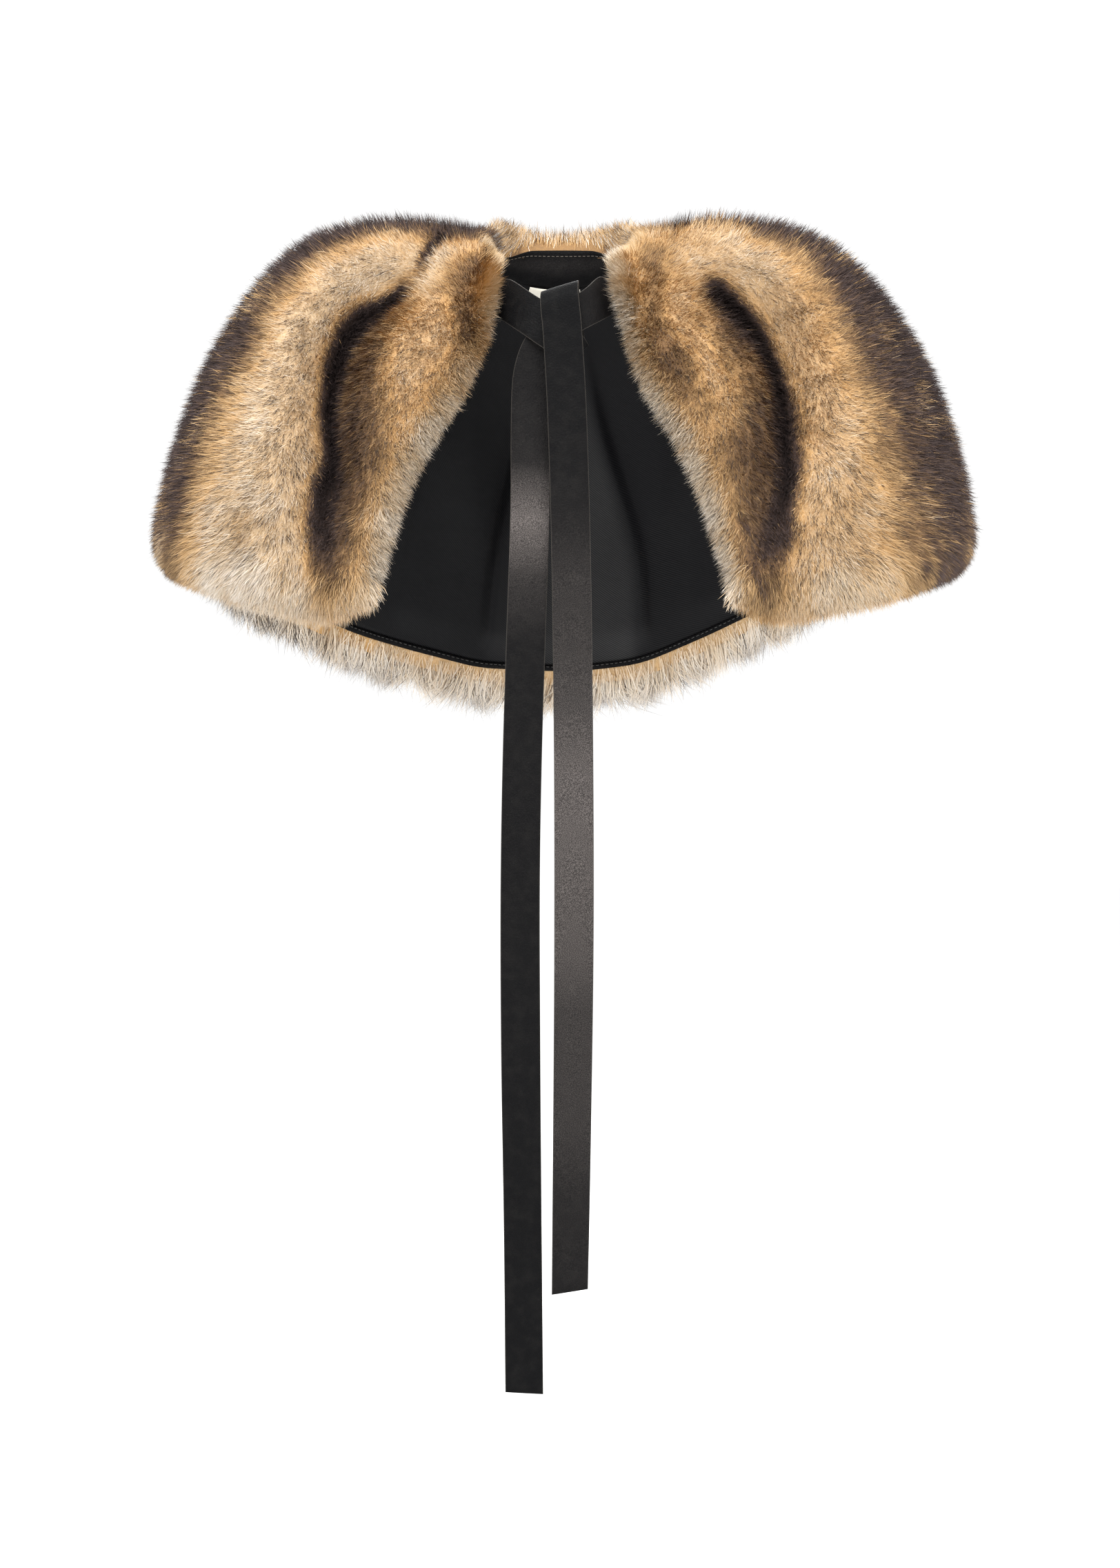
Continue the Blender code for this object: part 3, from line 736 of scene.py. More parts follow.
def hair_tone(at, guard, tuft, each):
    """The stripes' tone of dye and painted shade, with soft mottling, a change from tuft to tuft and from
    hair to hair, pale edges, and a little painted shade behind the neck.
    Guard hairs are more mixed: some are dark over light down, more of them lower on the cape, and some light
    over dark down. At the back's hem many have grey tips, in patches that are darker to the sides."""
    away = np.abs(turn_of(at.angle))
    above = guard & (hair_chance.random(len(guard)) > WAVE_GUARDS * side_waves(at.angle, at.share))
    tone = np.where(above, dyed_and_shaded_tone(at.angle, at.share), wool_tone(at.angle, at.share))
    hem = 1 - ease(at.hem_gap, 0, HEM_TONE_RIM)
    edge = 1 - ease(at.edge_gap, 0, EDGE_TONE_RIM)
    neck = 1 - ease(at.neck_gap, 0, NECK_TONE_RIM)
    rear, on_left = away > SEAM_ANGLE, at.angle % 360 < 180
    pale_hem = np.where(rear, PALE_HEM_BEHIND, np.where(on_left, *PALE_HEMS))
    pale_hem = pale_hem * (1 - ease(at.hem_gap, 0, PALE_HEM_HEIGHT))
    pale = np.maximum(pale_hem, np.where(on_left, *PALE_EDGES) * edge)
    tone = tone + (PALEST_TONE - tone) * pale * ease(tone, 0.05, 0.35 - 0.2 * rear)
    # Painted shade: the hair just below the neck behind is a little darker.
    tone = tone - HAIR_NECK_PAINTED_SHADE * neck * rear
    light = ease(tone, *LIGHT_FROM)
    valley = tone < LIGHT_FROM[0]
    mottle = 0.03 * noise_at(at, size=36, seed=7) + 0.02 * noise_at(at, size=15, seed=8)
    mottle = mottle + 0.4 * light * (1 - light) * noise_at(at, size=10, seed=9)
    tone = tone + (mottle + tuft + each * (0.3 + 0.6 * guard)) * (0.4 + 0.6 * light)
    patches = ease(noise_at(at, size=44, seed=21), -0.3, 0.9)
    aside = rear * (1 - ease(away, 122, 150))
    lower = ease(at.share, 0.15, 0.65)
    often = guard * (TICKS + TICKS_LOWER * lower + TICKS_NECK * neck * rear) * (1 - 0.5 * hem)
    often = often + hem * (TICKS_PATCHES * patches + TICKS_ASIDE * aside)
    greys = rear * (hem * (GREYS + GREYS_PATCHES * patches) + GREYS_NECK * neck)
    streaks = STREAKS + STREAKS_LOWER * lower + STREAKS_LIGHT * light
    pick = hair_chance.random(len(tone))
    dark = light <= 0.5
    kinds = [~dark & (pick < often), ~dark & (pick > 1 - greys)]
    kinds += [dark & ~valley & guard & (pick < streaks), dark & guard & (pick > 1 - BLACKS)]
    tones = [TICKED_TONE, GREY_TONE, STREAK_TONE + each, 0.3 * tone]
    return np.select(kinds, tones, np.clip(tone, 0, PALEST_TONE))


def grown(top, count):
    """Hair by tufts: short down, and guard hairs. A hair leans from the wool's normal towards its flow: down
    the cape and to either side of a front's crest, with soft swirls; behind the neck it stands up. Its
    length goes up at the hem, where it hangs and its tips draw aside into wavy locks."""
    tufts = count // HAIRS_IN_TUFT
    at, normal = strewn(top, tufts)
    of = np.repeat(np.arange(tufts), HAIRS_IN_TUFT)
    guard = hair_chance.random(len(of)) < GUARD_SHARE
    turn, back = turn_of(at.angle), behind(at.angle)
    away = np.abs(turn)
    neck, hem, edge = (1 - ease(gap, 0, LENGTH_RIM) for gap in (at.neck_gap, at.hem_gap, at.edge_gap))
    crests = (np.interp(at.share, *np.array(line).T) for line in (CREST_LEFT, CREST_RIGHT))
    crest = np.where(turn > 0, *crests)
    aside = np.clip((away - crest) / CREST_HALF_WIDTH, -1, 1) * ease(at.share, 0.1, 0.3)
    sway = SWAY * noise_at(at, size=75, seed=3) + hair_chance.normal(0, TUFT_SWAY, tufts)
    fan = np.sign(turn) * (0.25 + 0.75 * aside) * (1 - back)
    flow = unit(at.down * (1 - 1.2 * neck)[:, None] + at.around * (sway + fan)[:, None])
    lean = HAIR_LEANS[0] + (HAIR_LEANS[1] - HAIR_LEANS[0]) * ease(at.share, 0.2, 0.8)
    lean = lean + FAN_LEAN * np.abs(aside)
    lean = np.radians(lean * (1 - 0.7 * neck) + hair_chance.normal(0, TUFT_LEAN, tufts))
    stand_or_hang = UPRIGHT * (1.4 * neck * back - 0.6 * hem)[:, None]
    side = ease(away, crest + 5, crest + 14) * (1 - ease(away, 110, 130))
    body = (1 - WOOL_SHARE) * pile_depth(at.share) + ROOT_SUNK
    body = body[of] * np.where(guard, GUARD_LENGTH * (1 + SIDE_LONGER * side[of]), DOWN_LENGTH)
    length = body + (np.interp(away, HEM_LENGTH_ANGLES, HEM_LENGTHS)[of] - body) * hem[of]
    neck_length = NECK_LENGTHS[0] + (NECK_LENGTHS[1] - NECK_LENGTHS[0]) * back
    length = np.maximum(length, body + (neck_length[of] - body) * neck[of])
    length = length * (1 - NECK_SHORTER * back * (1 - ease(at.neck_gap, 1, 7)))[of]
    length = np.maximum(length, body + (FRONT_LENGTH - body) * edge[of])
    lock = 7 * noise_at(at, size=20, seed=31) + 4 * noise_at(at, size=9, seed=32)
    lock = lock + hair_chance.normal(0, 4, tufts)
    locks = (at.around * (lock * hem)[:, None])[of] * ease(length, 15, 35)[:, None]

    way = unit(normal * np.cos(lean)[:, None] + flow * np.sin(lean)[:, None] + stand_or_hang)
    tuft_tone = hair_chance.normal(0, TUFT_TONE, tufts)
    each = hair_chance.normal(0, EACH_TONE, len(of))
    tone = hair_tone(Wool(*(values[of] for values in at)), guard, tuft_tone[of], each)
    ticked = (tone == TICKED_TONE) & (hem[of] < 0.3)
    astray = hair_chance.normal(0, STRAY, (len(of), 3))
    way = unit(way[of] + astray + flow[of] * (TICKED_LEAN * ticked)[:, None])
    scatter = hair_chance.normal(0, TUFT_SPREAD, (len(of), 2))
    beside = unit(np.cross(normal, at.down))
    spread = beside[of] * scatter[:, :1] + np.cross(beside, normal)[of] * scatter[:, 1:]
    tuft_length = np.clip(hair_chance.normal(1, 0.07, tufts), 0.8, 1.12)
    long = length * tuft_length[of] * np.clip(hair_chance.normal(1, 0.10, len(of)), 0.7, 1.15)
    long = np.where(ticked, np.minimum(TICKED_LENGTH * long, LONG_FROM), long)
    inner = (away > SEAM_ANGLE) & (at.hem_gap < INNER_HEM)
    raised = at.down * (inner * hem_roll(at.angle) * hair_chance.random(tufts) ** 0.5)[:, None]
    start = (at.point - raised)[of] + spread - normal[of] * ROOT_SUNK
    tip = start + way * long[:, None] - spread * TUFT_DRAWS_IN + locks
    inside = ((at.level < 0.35) & (hem > 0.5))[:, None]
    facing = np.where(inside, -at.outward, normal - 0.5 * flow + 0.15 * at.outward)
    shade = np.where(inside, -at.outward, normal)
    width = np.where(guard, GUARD_WIDTH + TICKED_WIDER * ticked, DOWN_WIDTH)
    width = width * hair_chance.uniform(0.75, 1.25, len(of))
    return start, tip, facing[of], shade[of], tone, width, long, locks


def hair_piece(name, start, tip, facing, shade, tone, width, sag):
    """Blades from two points at the root to one at the tip. Where a sag is given, a blade bends over two
    more points at its knee. Its width lies square to its length and to the way that it faces, rolled at
    random, and it is shaded mostly as the fur's surface is. Its map runs along the hair and up the tones."""
    count = len(start)
    along = unit(tip - start)
    face = unit(facing - along * np.sum(facing * along, axis=-1, keepdims=True))
    roll = hair_chance.uniform(-BLADE_ROLL, BLADE_ROLL, count)[:, None]
    across = np.cross(along, face) * np.cos(roll) + face * np.sin(roll)
    shown = np.cross(across, along)
    half = width[:, None] / 2 * across
    if sag is None:
        points = np.stack([start - half, start + half, tip], axis=1)
        u, v, pattern = [0, 0, 1], [-1, 1, 0], [[0, 1, 2]]
    else:
        knee = start + (tip - start) * KNEE + sag
        bend = KNEE_WIDTH * half
        points = np.stack([start - half, start + half, knee - bend, knee + bend, tip], axis=1)
        u, v, pattern = [0, 0, KNEE, KNEE, 1], [-1, 1, -1, 1, 0], [[0, 1, 3], [0, 3, 2], [2, 3, 4]]
    size = points.shape[1]
    faces = (size * np.arange(count)[:, None, None] + np.array(pattern)).reshape(-1, 3)
    piece = put_mesh(name, points.reshape(-1, 3), faces, fur)
    tone = np.clip(tone, TONE_MARGIN, 1 - TONE_MARGIN)[:, None]
    along_map = np.broadcast_to(np.array(u, float), (count, size))
    spots = np.stack([along_map, tone + TONE_EDGE * np.array(v)], axis=-1)
    layer = piece.data.uv_layers.new(name="OFBake")
    layer.uv.foreach_set("vector", spots.reshape(-1, 2)[faces.ravel()].astype(np.float32).ravel())
    lit = unit(0.9 * shade + 0.2 * shown + hair_chance.normal(0, 0.08, (count, 3)))
    piece.data.normals_split_custom_set_from_vertices(np.repeat(lit, size, axis=0))
    return piece


def fur_colour(paint):
    """The hair's colour from its map: along the hair, and its tone."""
    return hair_colour(paint, *paint.map_axes("OFBake"))


fur = new_finish("long hair", {"Roughness": 0.75, "Specular IOR Level": 0.05}, Base_Color=fur_colour)

for coat in COATS:
    pelt, top = PELTS[coat.panel]
    *laid, long, locks = grown(top, HAIRS[coat.panel])
    bent = long > LONG_FROM
    sag = hair_chance.normal(0, SAG, (len(long), 3)) * long[:, None] - LOCK_SAG * locks
    hair = [hair_piece(f"fringe_{coat.panel}", *(part[bent] for part in laid), sag[bent])]
    hair.append(hair_piece(f"fur_{coat.panel}", *(part[~bent] for part in laid), None))


# The lining: black twill, cut like the fur in two fronts and a back and hung inside it from the neck facing
# to the hem binding. It is a little loose, so it stands off the hide in soft pleats that fan out below the
# neck.

GAP = 0.3
LINING_THICKNESS = 0.8
FACING_END = 0.092
BINDING_START = 0.985
LINING_ROWS = np.linspace(FACING_END - 0.004, BINDING_START + 0.003, 61)
LINING_FRONT = np.linspace(0, 1, 61)
LINING_BACK = np.linspace(0, 1, 201)
FRONT_LINING_CUT = (0.34, 0.32)
FRONT_LINING_AREA = 0.070
BACK_LINING_CUT = (0.66, 0.34)
BACK_LINING_AREA = 0.150
TWILL_STEP = 1.3
TWILL_DULL = (0.003, 0.003, 0.0035), (0.010, 0.010, 0.011)
TWILL_LIT = (0.012, 0.012, 0.012), (0.030, 0.030, 0.031)
CLOTH_RADIUS = 210.0
CLOTH_LENGTH = 330.0
# A pleat's crest stands in from the hide; it falls off over one width on its lower-angle side, another on
# the upper.
Pleat = namedtuple("Pleat", "angle_high angle_low width_below width_above depth start peak")
PLEATS = [
    Pleat(66, 40, 5.0, 9.0, 4.0, 0.15, 0.60),
    Pleat(104, 108, 6.0, 5.0, 4.0, 0.15, 0.70),
    Pleat(128, 130, 2.5, 8.0, 6.0, 0.18, 0.75),
    Pleat(150, 153, 2.0, 7.0, 6.5, 0.20, 0.70),
    Pleat(173, 167.5, 1.3, 9.0, 11.0, 0.20, 0.55),
    Pleat(189, 192.5, 10.0, 1.1, 12.0, 0.22, 0.55),
    Pleat(209, 207, 8.0, 2.0, 6.5, 0.20, 0.72),
    Pleat(231, 229, 8.0, 2.5, 6.0, 0.18, 0.75),
    Pleat(256, 252, 5.0, 6.0, 4.0, 0.15, 0.70),
    Pleat(295, 318, 9.0, 5.0, 4.0, 0.15, 0.60),
]
# The cloth between these two shows a soft sheen, over these angles past each crest and below the neck.
MIDDLE_PLEATS = PLEATS[4:6]
SHEEN_LEFT = (-1, 3)
SHEEN_RIGHT = (-14, 1)
SHEEN_FROM = (0.15, 0.45)
PLEATS_HELD_FROM = 0.90


def pleat_depth(angle, share):
    """How far the lining stands in: each pleat is a bell with its own width on either side of its drifting
    crest, which grows from its start and is held flat again at the binding."""
    depth = np.zeros(np.broadcast(angle, share).shape)
    for p in PLEATS:
        off = turn_of(angle - drifting(p.angle_high, p.angle_low, share))
        bell = np.exp(-np.where(off < 0, off / p.width_below, off / p.width_above) ** 2)
        depth += p.depth * ease(share, p.start, p.peak) * bell
    return depth * (1 - ease(share, PLEATS_HELD_FROM, BINDING_START))


def twill_lines(paint):
    """Diagonal ribs, as far apart as the twill's step, on the cloth's own map in millimetres."""
    across, down = paint.map_axes("cloth")
    turn = (across + down) * (2 * math.pi / TWILL_STEP / math.sqrt(2))
    return paint.node("Math", {"operation": "SINE"}, {0: turn})


def lining_colour(paint):
    """Black, a little greyer on the crown of each rib and where the cloth catches the light."""
    dull, lit = (twill_lines(paint).between(-1.0, 1.0).mix(*pair) for pair in (TWILL_DULL, TWILL_LIT))
    return paint.marked("sheen").mix(dull, lit)


def lining_bump(paint):
    """The twill's ribs, with faint creasing."""
    return (twill_lines(paint) * 0.06 + paint.noise(34.0, 3.0) * 1.2).bump(0.55, 0.0016)


twill = new_finish(
    "twill", {"Roughness": 0.42, "Specular IOR Level": 0.08}, Base_Color=lining_colour, Normal=lining_bump
)


def map_cloth(piece, u, v):
    """Gives a piece a map in millimetres, from two numbers for each vertex."""
    corner = np.empty(len(piece.data.loops), np.int32)
    piece.data.loops.foreach_get("vertex_index", corner)
    spots = np.stack([np.ravel(u), np.ravel(v)], axis=-1)[corner]
    piece.data.uv_layers.new(name="cloth").uv.foreach_set("vector", spots.astype(np.float32).ravel())


def lined(name, angles_at, places):
    """A sheet inside the hide, with pleats: down its inner side and up its outer side."""
    rows = np.concatenate([LINING_ROWS, LINING_ROWS[::-1]])
    places = places[:, None]
    shares = rows + 0 * places
    angles = angles_at(places, shares)
    inner = np.repeat([1.0, 0.0], len(LINING_ROWS))
    height = -GAP - pleat_depth(angles, shares) - LINING_THICKNESS * inner
    sheet = closed_sheet(name, over_hide(angles, shares, height), twill)
    map_cloth(sheet, np.radians(angles) * CLOTH_RADIUS + 0 * shares, shares * CLOTH_LENGTH)
    left, right = (turn_of(angles - drifting(p.angle_high, p.angle_low, shares)) for p in MIDDLE_PLEATS)
    sheen = ease(left, *SHEEN_LEFT) * (1 - ease(right, *SHEEN_RIGHT)) * ease(shares, *SHEEN_FROM)
    mark(sheet, "sheen", sheen)
    return sheet


for name, angles_at, places, cut, area in (
    ("lining_front_left", COATS[0].angles_at, LINING_FRONT, FRONT_LINING_CUT, FRONT_LINING_AREA),
    ("lining_front_right", COATS[1].angles_at, LINING_FRONT, FRONT_LINING_CUT, FRONT_LINING_AREA),
    ("lining_back", back_angles, LINING_BACK, BACK_LINING_CUT, BACK_LINING_AREA),
):
    cloth = lined(name + "_cloth", angles_at, places)
    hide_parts(name)


# The neck facing: a band of black grained leather inside the neck, turned over its top edge and top-stitched
# with a paler thread, with the lining sewn under its lower edge.

FACING_THICKNESS = 1.5
FACING_ROWS = np.linspace(-0.004, FACING_END, 13)
# A painted sheen along the middle of the facing: its strength, the share where it is strongest and its width.
FACING_SHEEN = 0.10
FACING_SHEEN_AT = 0.035
FACING_SHEEN_WIDTH = 0.022
FACING_STITCHES_AT = 0.011
STITCH_GAP = 3.6
STITCH_LENGTH = 2.3
STITCH_RADIUS = 0.28
STITCH_RINGS = 5
STITCH_SIDES = 6


def leather_grain(paint):
    """Pebbled grain about a millimetre across, over finer pores and broad soft unevenness."""
    inputs = {"Vector": paint.node("TexCoord", {}, {}, "Object"), "Scale": 900.0}
    pebbles = paint.node("TexVoronoi", {"feature": "SMOOTH_F1"}, inputs, "Distance")
    pores, broad = paint.noise(2600.0), paint.noise(60.0)
    return (pebbles * 0.55 + pores * 0.30 + broad * 0.6).bump(0.8, 0.0010)


def leather_gloss(paint):
    """Roughness: satin, duller in patches and pores."""
    return 0.24 + paint.noise(45.0, 4.0) * 0.2 + paint.noise(1400.0) * 0.14


def leather_colour(paint):
    """Soft black, a little greyer where it is rubbed and much greyer under a painted sheen, with a raw fibre
    colour on the cut edges.
    """
    rubbed = paint.noise(120.0, 5.0).between(0.35, 0.8)
    grain = paint.noise(1900.0).between(0.4, 0.64)
    face = rubbed.mix((0.0032, 0.0032, 0.0036), (0.0066, 0.0063, 0.0063))
    # Painted sheen: the marked strength mixes the face towards grey, speckled by the grain.
    shiny = (paint.marked("polish") * (0.25 + 0.75 * grain)).mix(face, (0.150, 0.132, 0.124))
    return paint.marked("cut_edge").mix(shiny, (0.085, 0.077, 0.068))


leather = new_finish(
    "leather",
    {"Specular IOR Level": 0.06},
    Base_Color=leather_colour,
    Roughness=leather_gloss,
    Normal=leather_grain,
)


def thread_colour(paint):
    """Waxed thread, in two close shades."""
    return paint.noise(1500.0, 1.0).mix((0.05, 0.042, 0.034), (0.16, 0.138, 0.11))


thread = new_finish("thread", {"Roughness": 0.6}, Base_Color=thread_colour)


def around_cape(places_front, places_back, shares):
    """Angles from the left front edge, round the back, to the right front edge."""
    left = front_angles(1, places_front[:, None], shares)
    back = back_angles(places_back[:, None], shares)
    right = 360 + front_angles(-1, places_front[::-1, None], shares)
    return np.concatenate([left, back[1:], right[1:]])


def facing_lift(angle, share):
    """How far the facing is lifted past the hide behind the neck: most at its top, none at its lower edge."""
    return NECK_RISE * facing_rise(angle) * np.maximum(1 - share / FACING_END, 0)


def seam_line(places_front, places_back, share, depth):
    """A line round the inside of the cape, at one share and depth in from the hide, and the way inwards."""
    angles = around_cape(places_front, places_back, np.array([share]))
    shares = share + 0 * angles
    line = over_hide(angles, shares, -depth, up_by=facing_lift(angles, shares))
    return line[:, 0], -cape_frame(angles, shares)[1][:, 0]


def stitched(name, seam, gap, length, material):
    """A row of stitches along a seam's line, each a round thread in a few rings that dips at both ends."""
    line, outward = seam
    run = np.concatenate([[0], np.cumsum(np.linalg.norm(np.diff(line, axis=0), axis=-1))])
    middle = np.arange(gap / 2, run[-1], gap)

    def at(values, where):
        return np.stack([np.interp(where, run, column) for column in values.T], axis=-1)

    way = unit(at(line, middle + 0.5) - at(line, middle - 0.5))
    up = at(outward, middle)
    up = unit(up - way * np.sum(up * way, axis=-1, keepdims=True))
    side = np.cross(way, up)
    t = np.linspace(-1, 1, STITCH_RINGS)
    turn = np.linspace(0, 2 * np.pi, STITCH_SIDES, endpoint=False)
    forward = (t * length / 2)[:, None] + 0 * turn
    raised = STITCH_RADIUS * ((0.75 - 1.2 * t**4)[:, None] + np.sin(turn))
    wide = STITCH_RADIUS * np.cos(turn) + 0 * t[:, None]
    local = np.stack([forward, raised, wide], axis=-1).reshape(-1, 3)
    axes = np.stack([way, up, side], axis=1)
    points = at(line, middle)[:, None] + np.einsum("kc,nci->nki", local, axes)
    first = STITCH_RINGS * STITCH_SIDES * np.arange(len(middle))[:, None, None]
    faces = (closed_faces(STITCH_RINGS, STITCH_SIDES) + first).reshape(-1, 4)
    return put_mesh(name, points.reshape(-1, 3), faces, material)


NECK_FRONT = np.linspace(0, 1, 41)
NECK_BACK = np.linspace(0, 1, 81)
rows = np.concatenate([FACING_ROWS, FACING_ROWS[::-1]])
angles = around_cape(NECK_FRONT, NECK_BACK, rows)
shares = rows + 0 * angles
roundness = np.sqrt(1 - 0.85 * np.linspace(-1, 1, len(FACING_ROWS)) ** 8)
middle_depth = -GAP - FACING_THICKNESS / 2
half_depth = FACING_THICKNESS / 2 * np.concatenate([-roundness, roundness[::-1]])
height = middle_depth + half_depth
grid = over_hide(angles, shares, height, up_by=facing_lift(angles, shares))
facing = closed_sheet("neck_band", grid, leather)
mark(facing, "cut_edge", np.zeros(angles.size))
# Painted sheen along the middle of the facing.
mark(facing, "polish", FACING_SHEEN * np.exp(-(((shares - FACING_SHEEN_AT) / FACING_SHEEN_WIDTH) ** 2)))
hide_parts("neck_facing")
neck_seam = seam_line(NECK_FRONT, NECK_BACK, FACING_STITCHES_AT, GAP + FACING_THICKNESS)
neck_stitches = stitched("neck_stitches", neck_seam, STITCH_GAP, STITCH_LENGTH, thread)


# The hem binding: a narrow strip of the same leather, turned round the lining's lower edge like a piping and
# stitched through close above the fur of the hem.

BINDING_ROWS = (BINDING_START - 0.001, 1.0)
BINDING_DEPTH = 2.5
BINDING_LEATHER = 0.7
BINDING_NARROWER = 0.27
BINDING_TURNS = np.radians(np.linspace(-165, 165, 15))
HEM_STITCH_GAP = 4.2
HEM_STITCH_LENGTH = 2.6
HEM_STITCHES_AT = np.mean(BINDING_ROWS) - 0.003
HEM_STITCHES_DEPTH = GAP + 0.93 * BINDING_DEPTH

HEM_FRONT = np.linspace(0, 1, 81)
HEM_BACK = np.linspace(0, 1, 201)
turn = np.concatenate([BINDING_TURNS, BINDING_TURNS[::-1]])
inner = np.repeat([0.0, 1.0], len(BINDING_TURNS))
half_run = (BINDING_ROWS[1] - BINDING_ROWS[0]) / 2
roll_share = np.mean(BINDING_ROWS) + np.sin(turn) * half_run * (1 - BINDING_NARROWER * inner)
angles = around_cape(HEM_FRONT, HEM_BACK, roll_share)
shares = roll_share + 0 * angles
radius = BINDING_DEPTH / 2 - BINDING_LEATHER * inner
height = -GAP - BINDING_DEPTH / 2 - np.cos(turn) * radius + 0 * angles
binding = closed_sheet("hem_piping", over_hide(angles, shares, height), leather)
mark(binding, "cut_edge", np.zeros(angles.size))
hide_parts("hem_binding")


def dark_thread_colour(paint):
    """Black thread, slightly shiny grey where it is rubbed."""
    return paint.noise(1500.0, 1.0).mix((0.02, 0.02, 0.02), (0.09, 0.085, 0.08))


dark_thread = new_finish("dark thread", {"Roughness": 0.55}, Base_Color=dark_thread_colour)
hem_seam = seam_line(HEM_FRONT, HEM_BACK, HEM_STITCHES_AT, HEM_STITCHES_DEPTH)
hem_stitches = stitched("hem_stitches", hem_seam, HEM_STITCH_GAP, HEM_STITCH_LENGTH, dark_thread)


# The label: a blank piece of cream woven tape under the facing at the back of the neck, tacked down by its
# ends.

LABEL_ANGLE = 184.0
LABEL_HALF_ANGLE = 13.0
LABEL_ROWS = np.linspace(0.0955, 0.174, 15)
LABEL_LIFT = 1.9
LABEL_THICKNESS = 0.6


def tape_ribs(paint):
    """Woven ribs across the tape, about three quarters of a millimetre apart."""
    place = paint.node("TexCoord", {}, {}, "Object")
    inputs = {"Vector": place, "Scale": 420.0, "Distortion": 0.3}
    return paint.node("TexWave", {"bands_direction": "Z"}, inputs, "Fac")


def label_colour(paint):
    """Cream, paler on the ribs."""
    return tape_ribs(paint).mix((0.72, 0.68, 0.58), (0.84, 0.80, 0.70))


def label_bump(paint):
    """The tape's ribs, raised."""
    return tape_ribs(paint).bump(0.4, 0.0003)


tape = new_finish("woven tape", {"Roughness": 0.75}, Base_Color=label_colour, Normal=label_bump)
rows = np.concatenate([LABEL_ROWS, LABEL_ROWS[::-1]])
places = np.linspace(-LABEL_HALF_ANGLE, LABEL_HALF_ANGLE, 25)[:, None]
shares = rows + 0 * places
inner = np.repeat([1.0, 0.0], len(LABEL_ROWS))
depth = LABEL_LIFT + LABEL_THICKNESS * inner + 0 * shares
grid = over_hide(LABEL_ANGLE + places + 0 * shares, shares, -depth)
label = closed_sheet("label_tape", grid, tape)
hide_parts("neck_label")


# The ties: two straps of the same leather, sewn to the facing at the front edges. The right one crosses over
# the left, goes round under it and up behind, and falls over the front of the knot; the left one hangs
# behind it.

TIE_THICKNESS = 2.0
TIE_STEPS = 14
SEWN_WIDTH = 27.0
SEWN_DEPTH = 4.6
SEWN_ANGLES = (13.0, 3.0)
SEWN_SHARES = (0.050, 0.075)
SEWN_STEP = 0.02
Station = namedtuple("Station", "x y z slant width")
TIE_RIGHT = [
    Station(-44.0, -62.5, -22.0, 62, 30),
    Station(-31.0, -78.5, -33.0, 60, 30),
    Station(-22.0, -86.5, -40.0, 58, 30),
    Station(-12.0, -90.0, -48.0, 56, 29),
    Station(0.0, -90.2, -57.0, 52, 27),
    Station(8.5, -89.0, -63.5, 46, 23),
    Station(12.5, -84.0, -67.0, 40, 20),
    Station(9.5, -78.5, -62.0, 34, 20),
    Station(5.5, -77.5, -48.0, 22, 22),
    Station(2.0, -77.5, -33.0, 14, 26),
    Station(-0.5, -77.3, -24.0, 15, 29),
    Station(-1.7, -85.5, -16.4, 17, 30),
    Station(-2.2, -93.0, -24.0, 14, 30),
    Station(-1.2, -94.0, -36.0, 7, 30),
    Station(0.5, -94.0, -55.0, 3, 30),
    Station(4.0, -94.5, -120.0, 1, 30),
    Station(7.0, -96.0, -230.0, 0, 30),
    Station(8.8, -98.0, -380.0, 0, 30),
    Station(9.0, -99.0, -520.0, 0, 30),
    Station(7.6, -99.0, -660.0, 0, 29),
    Station(5.9, -98.0, -784.0, 9, 28),
]
TIE_LEFT = [
    Station(34.0, -66.0, -20.0, 118, 30),
    Station(26.0, -75.5, -27.2, 119, 28),
    Station(16.0, -83.5, -34.5, 120, 26),
    Station(4.0, -85.5, -42.0, 126, 25),
    Station(-7.0, -85.0, -50.0, 141, 25),
    Station(-15.5, -84.5, -60.0, 158, 27),
    Station(-20.5, -84.0, -73.0, 171, 29),
    Station(-23.4, -84.5, -92.0, 177, 30),
    Station(-24.3, -86.0, -130.0, 180, 30),
    Station(-24.6, -88.0, -190.0, 180, 30),
    Station(-27.5, -91.0, -280.0, 180, 30),
    Station(-30.5, -93.0, -380.0, 180, 30),
    Station(-32.0, -94.0, -480.0, 180, 30),
    Station(-31.6, -94.5, -600.0, 180, 30),
    Station(-30.0, -94.0, -740.0, 179, 29),
    Station(-28.9, -93.0, -862.0, 177, 29),
]
# A strap's section: how far across it each point is, as a part of its half width, and which face it is on.
STRAP_ACROSS = np.array([-1.0, -0.985, -0.95, -0.6, -0.2, 0.2, 0.6, 0.95, 0.985, 1.0])
STRAP_ROUND = np.array([0.30, 0.62, 0.76, 0.92, 1.0, 1.0, 0.92, 0.76, 0.62, 0.30])
CUT_EDGE_FROM = 0.975


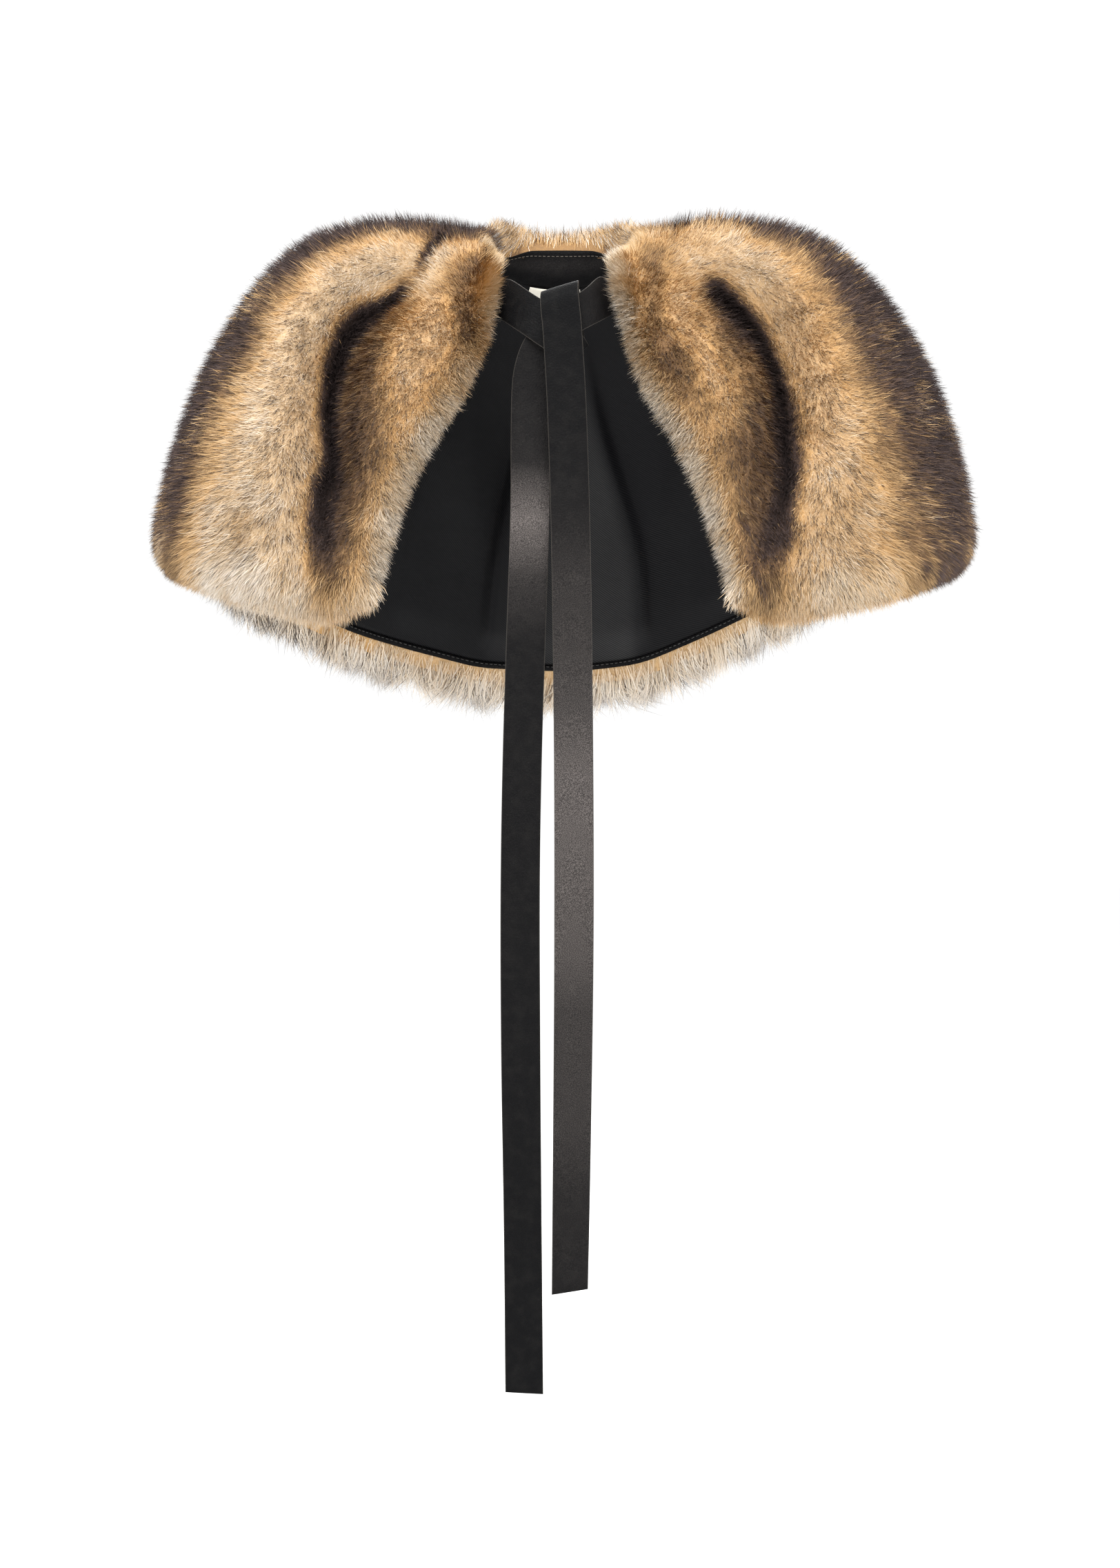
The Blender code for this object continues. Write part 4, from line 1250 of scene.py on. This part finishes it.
def make_tie(name, node, side, stations, polish):
    """A flat strap with softened edges, carried along a smooth curve through its stations. Its width lies
    along the stations' slant, and its faces to either side of the curve."""
    shares = np.array(SEWN_SHARES)
    angles = side * (front_angle(shares, side) + np.array(SEWN_ANGLES))
    sewn = over_hide(angles, shares, np.full(2, -SEWN_DEPTH))
    upward = unit(over_hide(angles, shares - SEWN_STEP) - over_hide(angles, shares + SEWN_STEP))
    free = np.array(stations, float)
    slant = np.radians(free[:, 3])
    across = np.stack([np.cos(slant), 0 * slant, np.sin(slant)], axis=-1)
    width = np.concatenate([np.full(len(sewn), SEWN_WIDTH), free[:, 4]])
    rows = np.column_stack([np.vstack([sewn, free[:, :3]]), np.vstack([upward, across]), width])
    table = np.column_stack([np.arange(len(rows)), rows])
    fine = np.linspace(0, len(rows) - 1, TIE_STEPS * (len(rows) - 1) + 1)
    path = smooth_columns(table, fine)[1:].T
    middle, half = path[:, :3], unit(path[:, 3:6]) * path[:, 6:] / 2
    normal = unit(np.cross(half, np.gradient(middle, axis=0))) * TIE_THICKNESS / 2
    over = np.concatenate([STRAP_ACROSS, STRAP_ACROSS[::-1]])
    thick = np.concatenate([-STRAP_ROUND, STRAP_ROUND[::-1]])
    grid = middle[:, None] + half[:, None] * over[:, None] + normal[:, None] * thick[:, None]
    tie = closed_sheet(name, grid, leather)
    edge = np.broadcast_to(ease(np.abs(over), CUT_EDGE_FROM, 1.0), grid.shape[:2])
    mark(tie, "cut_edge", edge)
    # A painted sheen on the strap's front face, by depth below the neck.
    heights, amounts = np.array(polish).T
    painted_front_sheen = np.interp(-grid[..., 2], heights, amounts) * (normal[:, None, 1] * thick < 0)
    mark(tie, "polish", painted_front_sheen)
    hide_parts(node)
    return tie


# Where a strap's front has a painted sheen: the depth below the neck and how much.
PAINTED_SHEEN_LEFT = [(100, 0.05), (150, 0.10), (195, 1.0), (240, 0.22), (290, 0.03), (860, 0.0)]
PAINTED_SHEEN_RIGHT = [
    (20, 0.0), (150, 0.02), (200, 0.08), (240, 0.22), (290, 0.28), (340, 0.45), (385, 0.80), (430, 0.78),
    (480, 0.66), (525, 0.58), (570, 0.30), (660, 0.26), (710, 0.10), (790, 0.06),
]
make_tie("tie_left_strap", "tie_left", 1, TIE_LEFT, PAINTED_SHEEN_LEFT)
make_tie("tie_right_strap", "tie_right", -1, TIE_RIGHT, PAINTED_SHEEN_RIGHT)


# The studio: a pale floor below the ties, an even white surround and three large soft lights, two in front of
# the cape and one behind it.

FLOOR_Z = -0.93
FLOOR_SIZE = 30.0
SURROUND_STRENGTH = 1.03


def floor_colour(paint):
    """Almost white, with the faintest unevenness."""
    return paint.noise(0.8).mix((0.970, 0.970, 0.970), (0.985, 0.985, 0.985))


reach = FLOOR_SIZE / 2
floor_mesh = bpy.data.meshes.new("floor")
floor_mesh.from_pydata(
    [(-reach, -reach, FLOOR_Z), (reach, -reach, FLOOR_Z), (reach, reach, FLOOR_Z), (-reach, reach, FLOOR_Z)],
    [],
    [(0, 1, 2, 3)],
)
floor_mesh.materials.append(new_finish("floor", {"Roughness": 0.9}, Base_Color=floor_colour))
floor = bpy.data.objects.new("floor", floor_mesh)
bpy.context.scene.collection.objects.link(floor)

world = bpy.data.worlds.new("studio")
world.use_nodes = True
surround = world.node_tree.nodes["Background"]
surround.inputs["Color"].default_value = (1, 1, 1, 1)
surround.inputs["Strength"].default_value = SURROUND_STRENGTH
bpy.context.scene.world = world
bpy.context.scene.view_settings.view_transform = "Standard"

Lamp = namedtuple("Lamp", "name place size watts")
AIM = np.array([0.0, 0.0, -0.2])
for lamp in (
    Lamp("key", (-0.9, -1.7, 2.1), 1.2, 90.0),
    Lamp("fill", (1.7, -1.8, 1.0), 1.6, 36.0),
    Lamp("back", (0.3, 1.9, 1.6), 1.6, 30.0),
):
    light = bpy.data.lights.new(lamp.name, "AREA")
    light.size = lamp.size
    light.energy = lamp.watts
    shining = bpy.data.objects.new(lamp.name, light)
    shining.location = lamp.place
    way = AIM - np.array(lamp.place)
    flat_way = math.hypot(way[0], way[1])
    shining.rotation_euler = (math.atan2(flat_way, -way[2]), 0, math.atan2(way[1], way[0]) - math.pi / 2)
    bpy.context.scene.collection.objects.link(shining)


# The camera: level with the middle of the cape and its ties and straight in front, far enough away for a long
# lens. It frames the cape with both ends of the ties.

LENS = 78.4
SENSOR_WIDTH = 36.0
CAMERA_PLACE = (-0.0016, -2.70, -0.397)

camera = bpy.data.cameras.new("camera")
camera.lens = LENS
camera.sensor_width = SENSOR_WIDTH
camera_holder = bpy.data.objects.new("camera", camera)
camera_holder.location = CAMERA_PLACE
camera_holder.rotation_euler = (math.pi / 2, 0, 0)
bpy.context.scene.collection.objects.link(camera_holder)
bpy.context.scene.camera = camera_holder
